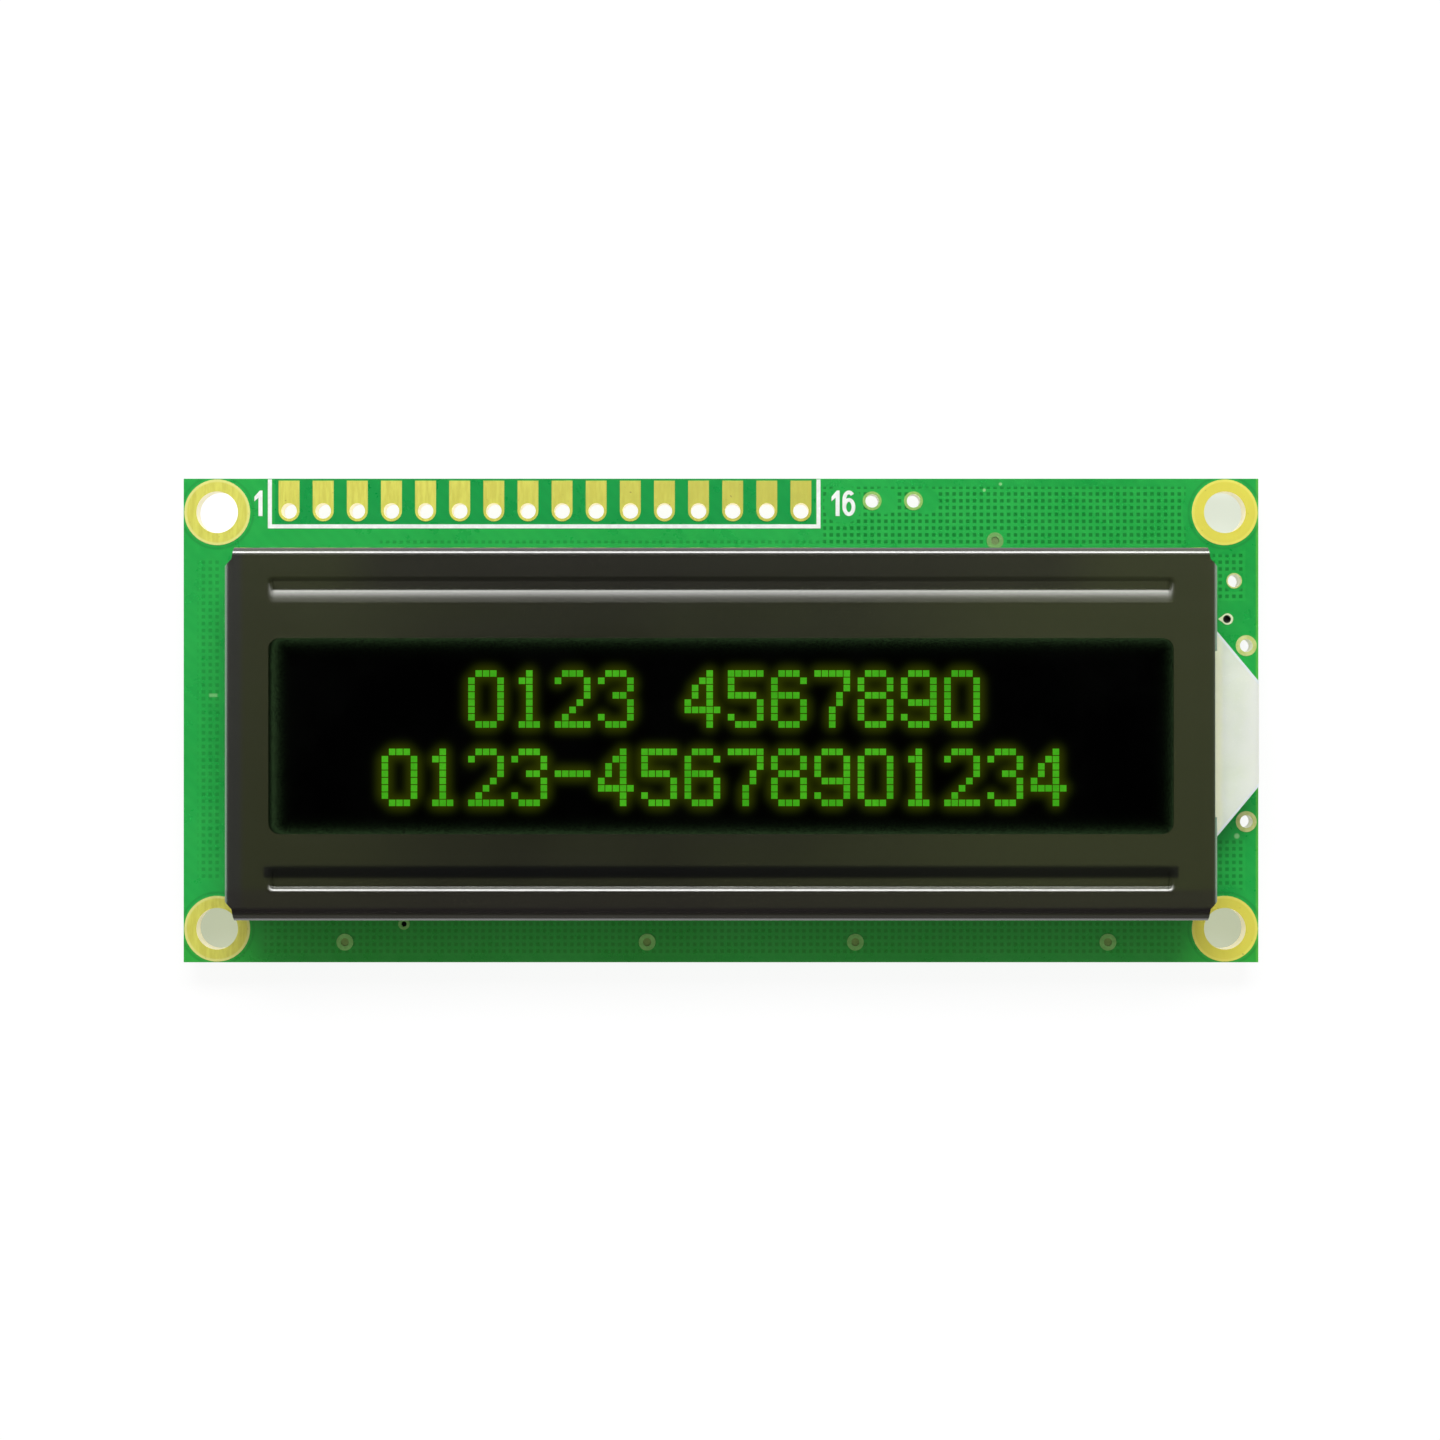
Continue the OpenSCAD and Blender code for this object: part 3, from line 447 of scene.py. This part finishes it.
def milky_guide():
    """Milky plastic, paler towards the tip; painted light just beside the bezel and painted
    highlights along both slanted edges of the lamp end.
    """
    t = Tree("light_guide")
    cloud = t.noise(0.35, 3.0, 0.5)
    fine = t.noise(7.0, 3.0, 0.6)
    tone = t.mix(t.vary(cloud), (0.76, 0.83, 0.68), (0.82, 0.88, 0.75))
    tone = t.mix(t.step(t.x, 37.6, 39.6), tone, (0.90, 0.94, 0.82))
    # painted light: brighter and yellower just beside the bezel, against the bezel's shadow
    tone = t.mix(t.step(t.x, 36.35, 36.85, 1.0, 0.0), tone, (0.95, 1.0, 0.70))
    # painted highlight: a paler, bluer line along both slanted edges
    lo, hi = (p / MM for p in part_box("light_guide"))
    half = (hi.y - lo.y) / 2
    tip = 3.85     # half the width at the tip
    taper = 4.6    # length of the slanted edges along X
    slope = (half - tip) / taper
    side = t.math("ABSOLUTE", t.math("SUBTRACT", t.y, (lo.y + hi.y) / 2))
    reach = t.math("ADD", side, t.times(t.x, slope))
    edge_highlight = t.step(reach, tip + hi.x * slope - 0.34, tip + hi.x * slope - 0.2)
    tone = t.mix(t.times(edge_highlight, 0.8), tone, (0.86, 0.94, 0.96))
    return t.finish(tone, t.vary(fine, 0.16, 0.28), 0.0, t.bump(fine, 0.004 * MM),
                    Subsurface_Weight=0.35, Subsurface_Radius=(0.003, 0.0032, 0.002),
                    Subsurface_Scale=1.0)


# ------------------------------------------------------------------ the part's own pieces

def dress(material, *names):
    for name in names:
        data = NODES[name].data
        if not data.materials:
            data.materials.append(material)
        for slot in NODES[name].material_slots:
            slot.material = material


def dress_chip_parts(kind, body, count):
    """Chip parts have their tinned ends along the longer side of their box."""
    skins = [chip_ends(f"{kind}_body_{axis}", body, i) for i, axis in enumerate("xy")]
    for i in range(1, count + 1):
        lo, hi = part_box(f"{kind}_{i}")
        dress(skins[0 if hi.x - lo.x > hi.y - lo.y else 1], f"{kind}_{i}")


MASK = solder_mask()
GOLD = gold()
TIN = plain("tin", (0.62, 0.62, 0.60), 0.3, 0.9, 0.15, 2.5, 0.02)
WHITE_PRINT = plain("white_print", (0.90, 0.92, 0.89), 0.5, 0.0, 0.06, 2.5, 0.01)
GLASS = plain("cell_glass", (0.75, 0.84, 0.80), 0.06, 0.0, 0.04, 0.3, 0.001,
              Transmission_Weight=0.85, IOR=1.5)
FILM = display_film("polarizer_film", False)
VIA = via_plating()

dress(MASK, "board")
dress(GOLD, "mounting_rings", "connection_pads", "contact_fingers_upper",
      "contact_fingers_lower", "jumper_pads")
dress(pale_plating(), "spare_pads", "side_pads")
dress(VIA, "plated_vias")
dress(bezel_steel(), "bezel")
dress(FILM, "front_polarizer", "rear_polarizer")
dress(GLASS, "front_glass", "rear_glass")
dress(plain("electrodes", (0.05, 0.40, 0.02), 0.3, 0.0, 0.15, 1.2, 0.001),
      "segment_electrodes", "common_electrodes")
dress(plain("liquid_crystal", (0.010, 0.020, 0.010), 0.2, 0.0, 0.2, 0.6, 0.001),
      "liquid_crystal")
dress(plain("seal_resin", (0.60, 0.55, 0.40), 0.45, 0.0, 0.12, 1.6, 0.01), "edge_seal",
      "fill_plug")
dress(plain("white_film", (0.82, 0.82, 0.80), 0.5, 0.0, 0.04, 0.6, 0.002), "diffuser_film",
      "reflector_film")
dress(milky_guide(), "light_guide")
dress(plain("lamp_resin", (0.80, 0.80, 0.62), 0.2, 0.0, 0.08, 1.2, 0.004), "backlight_lamp")
dress(TIN, "lamp_leads", "lamp_solder")
dress(rubber_layers(), "contact_strip_upper", "contact_strip_lower")
dress(plain("silicon", (0.14, 0.14, 0.17), 0.15, 0.6, 0.1, 2.0, 0.001), "controller_chip",
      "driver_chip")
dress(plain("potting_resin", (0.010, 0.010, 0.011), 0.28, 0.0, 0.25, 0.35, 0.06),
      "controller_dome", "driver_dome")
dress_chip_parts("resistor", (0.016, 0.016, 0.018), 9)
dress_chip_parts("capacitor", (0.36, 0.24, 0.13), 3)


# ------------------------------------------------------------------ helpers for added pieces

def piece(name, bm, material):
    mesh = bpy.data.meshes.new(name)
    bm.to_mesh(mesh)
    bm.free()
    obj = bpy.data.objects.new(name, mesh)
    bpy.context.scene.collection.objects.link(obj)
    mesh.materials.append(material)
    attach(obj, "root")


def outward(bm):
    """Turns the faces of closed forms outwards."""
    bmesh.ops.recalc_face_normals(bm, faces=bm.faces)
    return bm


def ribbon(bm, path, width, z0, z1):
    """A flat bar of the given width along a path of points, with mitred corners."""
    pts = [Vector(p) for p in path]
    sides = []
    for i, p in enumerate(pts):
        before = (p - pts[i - 1]).normalized() if i else None
        after = (pts[i + 1] - p).normalized() if i + 1 < len(pts) else None
        tangent = ((before or after) + (after or before)).normalized()
        normal = Vector((-tangent.y, tangent.x))
        cosine = normal.dot(Vector((-(after or before).y, (after or before).x)))
        sides.append((p + normal * width / 2 / cosine, p - normal * width / 2 / cosine))
    rows = [[bm.verts.new((q.x, q.y, z)) for q, z in ((a, z0), (a, z1), (b, z1), (b, z0))]
            for a, b in sides]
    for r, s in zip(rows, rows[1:]):
        for k in range(4):
            bm.faces.new((r[k], s[k], s[(k + 1) % 4], r[(k + 1) % 4]))
    bm.faces.new(rows[0])
    bm.faces.new(rows[-1][::-1])


def prism(bm, points, z0, z1):
    """A closed outline raised from z0 to z1."""
    low = [bm.verts.new((*p, z0)) for p in points]
    high = [bm.verts.new((*p, z1)) for p in points]
    for i in range(len(points)):
        j = (i + 1) % len(points)
        bm.faces.new((low[i], low[j], high[j], high[i]))
    bm.faces.new(high)
    bm.faces.new(low[::-1])


def disc(bm, x, y, radius, z0, z1):
    count = 20
    turns = [2 * math.pi * i / count for i in range(count)]
    prism(bm, [(x + radius * math.cos(a), y + radius * math.sin(a)) for a in turns], z0, z1)


# ------------------------------------------------------------------ the display

# Each character is five dots wide and eight high
FONT = {
    "0": "01110 10001 10001 10001 10001 10001 10001 01110",
    "1": "00100 01100 00100 00100 00100 00100 00100 01110",
    "2": "01110 10001 00001 00001 00010 00100 01000 11111",
    "3": "01110 10001 00001 00110 00001 00001 10001 01110",
    "4": "00010 00110 01010 01010 10010 11111 00010 00010",
    "5": "11111 10000 10000 11110 00001 00001 10001 01110",
    "6": "01110 10001 10000 11110 10001 10001 10001 01110",
    "7": "11111 00001 00001 00010 00010 00100 00100 00100",
    "8": "01110 10001 10001 01110 10001 10001 10001 01110",
    "9": "01110 10001 10001 10001 01111 00001 10001 01110",
    "-": "00000 00000 00000 11111 00000 00000 00000 00000",
    " ": "00000 00000 00000 00000 00000 00000 00000 00000",
}
LINES = ("  0123 4567890  ", "0123-45678901234")
DOT_PITCH = 0.526 * MM
DOT = 0.466 * MM
CHAR_PITCH = 3.125 * MM
LINE_PITCH = 5.66 * MM
DOTS_LIFT = 0.012 * MM       # the dots lie this far above the film, the skin this far
SKIN_LIFT = 0.005 * MM
SKIN_STEP = 0.22 * MM        # the skin's grid
SKIN_LAP = 0.6 * MM          # the skin runs this far beyond the window
HALO_REACH = 2.2 * MM
HALO_SPREAD = 0.38 * MM


def dot_centres():
    x0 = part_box("segment_electrodes")[1].x - 15 * CHAR_PITCH - 4 * DOT_PITCH - DOT
    y1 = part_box("common_electrodes")[1].y
    centres = []
    for row, text in enumerate(LINES):
        for col, char in enumerate(text):
            for j, bits in enumerate(FONT[char].split()):
                for i, bit in enumerate(bits):
                    if bit == "1":
                        centres.append((x0 + col * CHAR_PITCH + i * DOT_PITCH + DOT / 2,
                                        y1 - row * LINE_PITCH - j * DOT_PITCH - DOT / 2))
    return centres


def display_dots(centres):
    bm = bmesh.new()
    for x, y in centres:
        bm.faces.new([bm.verts.new((x + sx * DOT / 2, y + sy * DOT / 2, FILM_Z + DOTS_LIFT))
                      for sx, sy in ((-1, -1), (1, -1), (1, 1), (-1, 1))])
    piece("display_dots", bm, lit_dots())


def halo_round(centres, gx, gy):
    """Light round the dots at each crossing of a grid."""
    halo = np.zeros((len(gy), len(gx)))
    for x, y in centres:
        cols = np.abs(gx - x) < HALO_REACH
        rows = np.abs(gy - y) < HALO_REACH
        d2 = (gx[cols][None, :] - x) ** 2 + (gy[rows][:, None] - y) ** 2
        halo[np.ix_(rows, cols)] += np.exp(-d2 / (2 * HALO_SPREAD ** 2))
    return 1 - np.exp(-halo * 0.55)


def display_skin(centres):
    """A skin on the film carries the light round the dots and along the window's edge."""
    nx = int((WIN_X1 - WIN_X0 + 2 * SKIN_LAP) / SKIN_STEP)
    ny = int((WIN_Y1 - WIN_Y0 + 2 * SKIN_LAP) / SKIN_STEP)
    gx = np.linspace(WIN_X0 - SKIN_LAP, WIN_X1 + SKIN_LAP, nx)
    gy = np.linspace(WIN_Y0 - SKIN_LAP, WIN_Y1 + SKIN_LAP, ny)
    halo = halo_round(centres, gx, gy)
    verts = [(x, y, FILM_Z + SKIN_LIFT) for y in gy for x in gx]
    faces = [(j * nx + i, j * nx + i + 1, (j + 1) * nx + i + 1, (j + 1) * nx + i)
             for j in range(ny - 1) for i in range(nx - 1)]
    skin = bpy.data.meshes.new("display_skin")
    skin.from_pydata(verts, [], faces)
    attribute = skin.attributes.new("halo", "FLOAT", "POINT")
    attribute.data.foreach_set("value", halo.ravel().astype(np.float32))
    skin_obj = bpy.data.objects.new("display_skin", skin)
    bpy.context.scene.collection.objects.link(skin_obj)
    skin.materials.append(display_film("polarizer_skin", True))
    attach(skin_obj, "root")


# ------------------------------------------------------------------ white print

PRINT_T = 0.03 * MM
FIGURE_Y = 15.22     # the printed numbers' foot and height in millimetres
FIGURE_H = 1.9


def print_frame():
    """The frame round the connection pads, open at the board's edge."""
    bm = bmesh.new()
    edge_y = BOARD_HI.y - 0.05 * MM
    left, right, low = -33.58 * MM, 7.26 * MM, 14.45 * MM
    ribbon(bm, [(left, edge_y), (left, low), (right, low), (right, edge_y)], 0.3 * MM, Z_TOP,
           Z_TOP + PRINT_T)
    piece("print_frame", outward(bm), WHITE_PRINT)


def figure_one(bm, x):
    """A printed 1 whose stem stands at x, drawn as one outline."""
    outline = ((-0.15, 0.0), (0.15, 0.0), (0.15, 1.0), (-0.05, 1.0), (-0.45, 0.76), (-0.45, 0.58),
               (-0.15, 0.72))
    prism(bm, [((x + u) * MM, (FIGURE_Y + v * FIGURE_H) * MM) for u, v in outline], Z_TOP,
          Z_TOP + PRINT_T)


def figure_six(bm, x):
    """A printed 6 centred on x: a round bowl, and a stem that curves over it."""
    w, h = 0.34, FIGURE_H * 0.28
    low, high = FIGURE_Y + 0.14, FIGURE_Y + FIGURE_H - 0.14
    bowl = [(x + w * math.cos(a), low + h + h * math.sin(a))
            for a in (2 * math.pi * k / 28 for k in range(29))]
    stem = [(x - w, low + h)] + [(x + w * math.cos(a), high - h * (1 - math.sin(a)))
                                 for a in (math.pi - k * 0.22 for k in range(12))]
    for path, top in ((bowl, 1.0), (stem, 0.96)):
        ribbon(bm, [(u * MM, v * MM) for u, v in path], 0.28 * MM, Z_TOP, Z_TOP + PRINT_T * top)


def print_numbers():
    """The first and the last pad's number, at the ends of the row."""
    bm = bmesh.new()
    figure_one(bm, -34.28)
    piece("print_number_first", outward(bm), WHITE_PRINT)
    bm = bmesh.new()
    figure_one(bm, 8.68)
    figure_six(bm, 9.52)
    piece("print_number_last", outward(bm), WHITE_PRINT)


# ------------------------------------------------------------------ vias, tracks and solder

TRACK_Z = Z_BACK - 0.022 * MM
TRACK_W = 0.2 * MM
PAD_TRACK_W = 0.26 * MM
PAD_COUNT = 16
PAD_PITCH = 2.54 * MM
PAD_HALF = 0.775 * MM
FILLET_STEPS = 6


def via_fill():
    """Lacquer closes the wide vias; the narrow ones hold near-black painted shade deeper down."""
    bm = bmesh.new()
    for places, radius, depth in ((WIDE_VIAS, 0.3, 0.03), (NARROW_VIAS, 0.2, 0.25)):
        for x, y in places:
            disc(bm, x * MM, y * MM, radius * MM, Z_BACK + 0.1 * MM, Z_TOP - depth * MM)
    piece("via_fill", outward(bm), via_plug())


def via_tail():
    """The narrow via on the right has a short pointed tail towards the bezel."""
    bm = bmesh.new()
    corners = ((37.45, 7.22), (37.45, 7.88), (37.0, 7.55))
    prism(bm, [(x * MM, y * MM) for x, y in corners], Z_TOP, Z_TOP + 0.045 * MM)
    piece("via_tail", outward(bm), VIA)


def pad_tracks(bm, dome):
    """From each connection pad to the larger dome, gathering closer on the way."""
    pads_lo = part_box("connection_pads")[0]
    pad_y = BOARD_HI.y - 2.4 * MM
    for i in range(PAD_COUNT):
        x = pads_lo.x + PAD_HALF + i * PAD_PITCH
        xt = dome.x + (i - (PAD_COUNT - 1) / 2) * 0.72 * MM
        y1 = pad_y - 2.3 * MM
        y2 = y1 - abs(xt - x)
        path = [(x, pad_y - 0.8 * MM), (x, y1), (xt, y2)]
        if y2 > dome.y:
            path.append((xt, dome.y))
        ribbon(bm, path, PAD_TRACK_W, TRACK_Z, Z_BACK)


def bridge_tracks(bm, dome, small):
    """Straight across between the domes."""
    for i in range(9):
        y = dome.y - 3.9 * MM + i * 0.42 * MM - 0.4 * MM
        ribbon(bm, [(dome.x + 3 * MM, y), (small.x - 3 * MM, y)], TRACK_W, TRACK_Z + 0.002 * MM,
               Z_BACK)


def fan_track(bm, centre, place, spread, up, stagger):
    """One track from a dome outwards; gives the place of the via at its end, if it has room."""
    xt = centre.x + place * spread
    xs = centre.x + place * 0.36 * MM
    y_end = -13.2 * MM if up < 0 else 11.2 * MM
    y_end += stagger * 1.1 * MM * -up
    y_turn = y_end - up * (abs(xt - xs) + 0.4 * MM)
    path = [(xs, centre.y)]
    if (centre.y - y_turn) * -up > 0:
        path.append((xs, y_turn))
    path.append((xt, path[-1][1] + up * abs(xt - xs)))
    path.append((xt, y_end))
    if abs(path[-1][1] - path[-2][1]) < 0.1 * MM or abs(xt) > 36 * MM:
        return None
    ribbon(bm, path, TRACK_W, TRACK_Z + (0.005 + 0.001 * up) * MM, Z_BACK)
    return xt, y_end


def back_tracks():
    """Tracks under the lacquer on the back; gives the places of the vias at their ends."""
    dome_lo, dome_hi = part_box("controller_dome")
    dome = (dome_lo + dome_hi) / 2
    small_lo, small_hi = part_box("driver_dome")
    small = (small_lo + small_hi) / 2
    bm = bmesh.new()
    pad_tracks(bm, dome)
    bridge_tracks(bm, dome, small)
    # the larger dome's fan runs only away from the pads, the smaller one's both ways
    fans = ((dome, 24, 1.35 * MM, (-1,)), (small, 20, 1.3 * MM, (-1, 1)))
    ends = [fan_track(bm, centre, i - (count - 1) / 2, spread, up, i % 2)
            for centre, count, spread, ways in fans for i in range(count) for up in ways]
    piece("back_tracks", outward(bm), MASK)
    return [end for end in ends if end]


def back_vias(places):
    bm = bmesh.new()
    for x, y in places:
        disc(bm, x, y, 0.36 * MM, Z_BACK - 0.035 * MM, Z_BACK)
    piece("back_vias", outward(bm), plain("tented_via", (0.045, 0.42, 0.10), 0.3, 0.0, 0.15, 2.0,
                                          0.01))


def fillet(bm, place, half_l, half_w, height, s):
    """A hollow fillet of solder at one end of a chip part; s is its side."""
    grid = []
    for k in range(FILLET_STEPS + 1):
        turn = k / FILLET_STEPS * math.pi / 2
        out = 0.5 * MM * (1 - math.sin(turn))
        up = height * (1 - math.cos(turn))
        wide = half_w + 0.12 * MM * (1 - k / FILLET_STEPS)
        grid.append([bm.verts.new(place(s * (half_l + out), side * wide, Z_BACK - up))
                     for side in (-1, 1)])
    for a, b in zip(grid, grid[1:]):
        bm.faces.new((a[0], a[1], b[1], b[0]))
    foot = [bm.verts.new(place(s * half_l, side * half_w, Z_BACK)) for side in (-1, 1)]
    bm.faces.new([pair[0] for pair in grid] + [foot[0]])
    bm.faces.new([pair[1] for pair in grid][::-1] + [foot[1]])
    for pair in (grid[-1], grid[0]):
        bm.faces.new((pair[0], pair[1], foot[1], foot[0]))


def chip_fillets(bm, kind, i, height):
    """Both fillets of one chip part, along the longer side of its box."""
    lo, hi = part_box(f"{kind}_{i}")
    mid = (lo + hi) / 2
    flat = hi.x - lo.x > hi.y - lo.y
    half_l = (hi.x - lo.x) / 2 if flat else (hi.y - lo.y) / 2
    half_w = (hi.y - lo.y) / 2 if flat else (hi.x - lo.x) / 2

    def place(along, across, z):
        return (mid.x + along, mid.y + across, z) if flat else (mid.x + across, mid.y + along, z)

    for s in (-1, 1):
        fillet(bm, place, half_l, half_w, height, s)


def solder_fillets():
    bm = bmesh.new()
    for kind, count, height in (("resistor", 9, 0.34 * MM), ("capacitor", 3, 0.5 * MM)):
        for i in range(1, count + 1):
            chip_fillets(bm, kind, i, height)
    piece("solder_fillets", outward(bm), TIN)


CENTRES = dot_centres()
display_dots(CENTRES)
display_skin(CENTRES)
print_frame()
print_numbers()
via_fill()
via_tail()
back_vias(back_tracks())
solder_fillets()


# ------------------------------------------------------------------ floor, light and camera

SOFTBOX_TILT = 43.0   # degrees from the vertical, towards the pads' edge
SOFTBOX_SPREAD = 5.5  # degrees
SOFTBOX = 18.0        # its brightness, and the glow's
GLOW = 1.6
AMBIENT = 0.50        # what matt faces get
LAMP_FAR = 0.5        # the lamps' distance
KEY_TILT = 33         # degrees from the vertical, towards the pads' edge
AIM = (0.0, 0.0, 0.005)


def room_light(n, axes):
    """A dim ceiling, a dark wall in front and a lit one behind."""
    return n.times(n.step(axes[2], 0.1, 0.9, 0.30, 0.01), n.step(axes[1], -0.5, 0.5, 0.12, 1.0))


def softbox_light(n, axes):
    """A softbox behind, and a glow that grows towards it and towards both its ends."""
    tilt = n.math("DEGREES", n.math("ARCTAN2", axes[1], axes[2]))
    sideways = n.math("ABSOLUTE", axes[0])
    glow = n.math("MINIMUM", n.math("DIVIDE", n.math("MAXIMUM", tilt, 0.0), 32.0), 1.1)
    glow = n.math("POWER", glow, 2.6)
    glow = n.times(glow, n.step(tilt, 45.0, 75.0, GLOW, 0.2))
    glow = n.times(glow, n.step(sideways, 0.08, 0.17, 0.75, 1.5))
    off = n.math("DIVIDE", n.math("SUBTRACT", tilt, SOFTBOX_TILT), SOFTBOX_SPREAD)
    peak = n.math("EXPONENT", n.times(n.times(off, off), -1.0))
    peak = n.times(peak, n.step(sideways, 0.25, 0.4, SOFTBOX, 0.0))
    return n.math("ADD", glow, peak)


def world_light():
    """White for the camera, plain light for matt faces, a drawn room for polished ones."""
    world = bpy.data.worlds.new("studio")
    bpy.context.scene.world = world
    world.use_nodes = True
    n = Nodes(world.node_tree)
    direction = n.node("ShaderNodeTexCoord").outputs["Generated"]
    axes = n.node("ShaderNodeSeparateXYZ", {0: direction}).outputs
    gloss = n.math("ADD", room_light(n, axes), softbox_light(n, axes))
    path = n.node("ShaderNodeLightPath")
    seen = n.union(path.outputs["Is Camera Ray"], path.outputs["Is Transmission Ray"])
    ambient = n.node("ShaderNodeMix", {0: path.outputs["Is Glossy Ray"], 2: AMBIENT, 3: gloss},
                     data_type="FLOAT").outputs[0]
    strength = n.node("ShaderNodeMix", {0: seen, 2: ambient, 3: 1.0}, data_type="FLOAT").outputs[0]
    back = n.node("ShaderNodeBackground", {"Color": (1.0, 1.0, 0.99, 1.0), "Strength": strength})
    n.node("ShaderNodeOutputWorld", {"Surface": back.outputs[0]})


def floor_paper():
    """Paper with a light of its own; from below, and for shadows, it isn't there."""
    t = Tree("floor")
    paper = t.noise(0.02, 3.0, 0.5)
    tone = t.mix(t.vary(paper), (0.125, 0.125, 0.124), (0.135, 0.135, 0.135))
    diffuse = t.node("ShaderNodeBsdfDiffuse", {"Color": tone})
    path = t.node("ShaderNodeLightPath")
    seen = t.union(path.outputs["Is Camera Ray"], path.outputs["Is Glossy Ray"],
                   path.outputs["Is Transmission Ray"])
    # painted light and shadow: what shows through the mounting holes is brightest at the upper
    # left, duller below
    apart = t.around_four(HOLE_X + 0.6, HOLE_Y + 0.25)
    under = t.step(apart, 1.7, 2.0, 1.0, 0.0)
    shade = t.mix(t.step(t.x, -1.0, 1.0), (1.05, 1.05, 1.05), (0.68, 0.73, 0.62))
    shade = t.mix(t.step(t.y, -1.0, 1.0, 1.0, 0.0), shade, (0.450, 0.490, 0.345))
    # painted light: the floor under the board is brighter than around it, against the board's
    # shadow
    inside = t.box(-38.5, 38.5, -16.5, 17.0, 1.0)
    paint = t.mix(inside, (0.89, 0.89, 0.89), (0.95, 0.95, 0.92))
    paint = t.mix(under, paint, shade)
    lit = t.node("ShaderNodeEmission", {"Color": paint, "Strength": seen})
    top = t.node("ShaderNodeAddShader", {0: diffuse.outputs[0], 1: lit.outputs[0]})
    clear = t.node("ShaderNodeBsdfTransparent")
    hidden = t.union(t.node("ShaderNodeNewGeometry").outputs["Backfacing"],
                     path.outputs["Is Shadow Ray"])
    out = t.node("ShaderNodeMixShader", {0: hidden, 1: top.outputs[0], 2: clear.outputs[0]})
    t.node("ShaderNodeOutputMaterial", {"Surface": out.outputs[0]})
    return t.mat


def floor():
    half = 1.2
    cells = 12
    bm = bmesh.new()
    bmesh.ops.create_grid(bm, x_segments=cells, y_segments=cells, size=half)
    mesh = bpy.data.meshes.new("floor")
    bm.to_mesh(mesh)
    bm.free()
    obj = bpy.data.objects.new("floor", mesh)
    obj.location.z = -0.02 * MM
    bpy.context.scene.collection.objects.link(obj)
    mesh.materials.append(floor_paper())


def softbox(name, place, size_x, size_y, radiance):
    """A lamp that points at the module."""
    light = bpy.data.lights.new(name, "AREA")
    light.shape = "RECTANGLE"
    light.size = size_x
    light.size_y = size_y
    light.energy = radiance * math.pi * size_x * size_y
    obj = bpy.data.objects.new(name, light)
    obj.location = place
    obj.rotation_euler = (Vector(AIM) - Vector(place)).to_track_quat("-Z", "Y").to_euler()
    bpy.context.scene.collection.objects.link(obj)
    return obj


def lamps():
    """The key lamp behind the pads' edge, and one below that lights the back."""
    tilt = math.radians(KEY_TILT)
    key = softbox("key", (0.0, LAMP_FAR * math.sin(tilt), LAMP_FAR * math.cos(tilt)), 0.34, 0.13,
                  12.4)
    key.visible_glossy = False
    softbox("under", (0.0, 0.0, -LAMP_FAR), 0.4, 0.4, 2.2)


def overhead_camera():
    """Straight above, as in the photo, and a hair off the middle."""
    camera = bpy.data.cameras.new("camera")
    camera.lens = 72.2
    camera.sensor_width = 36.0
    camera.clip_start = 0.01
    cam = bpy.data.objects.new("camera", camera)
    cam.location = (-0.074 * MM, 0.037 * MM, 0.2184)
    bpy.context.scene.collection.objects.link(cam)
    bpy.context.scene.camera = cam


world_light()
floor()
lamps()
overhead_camera()
bpy.context.scene.view_settings.view_transform = "Standard"
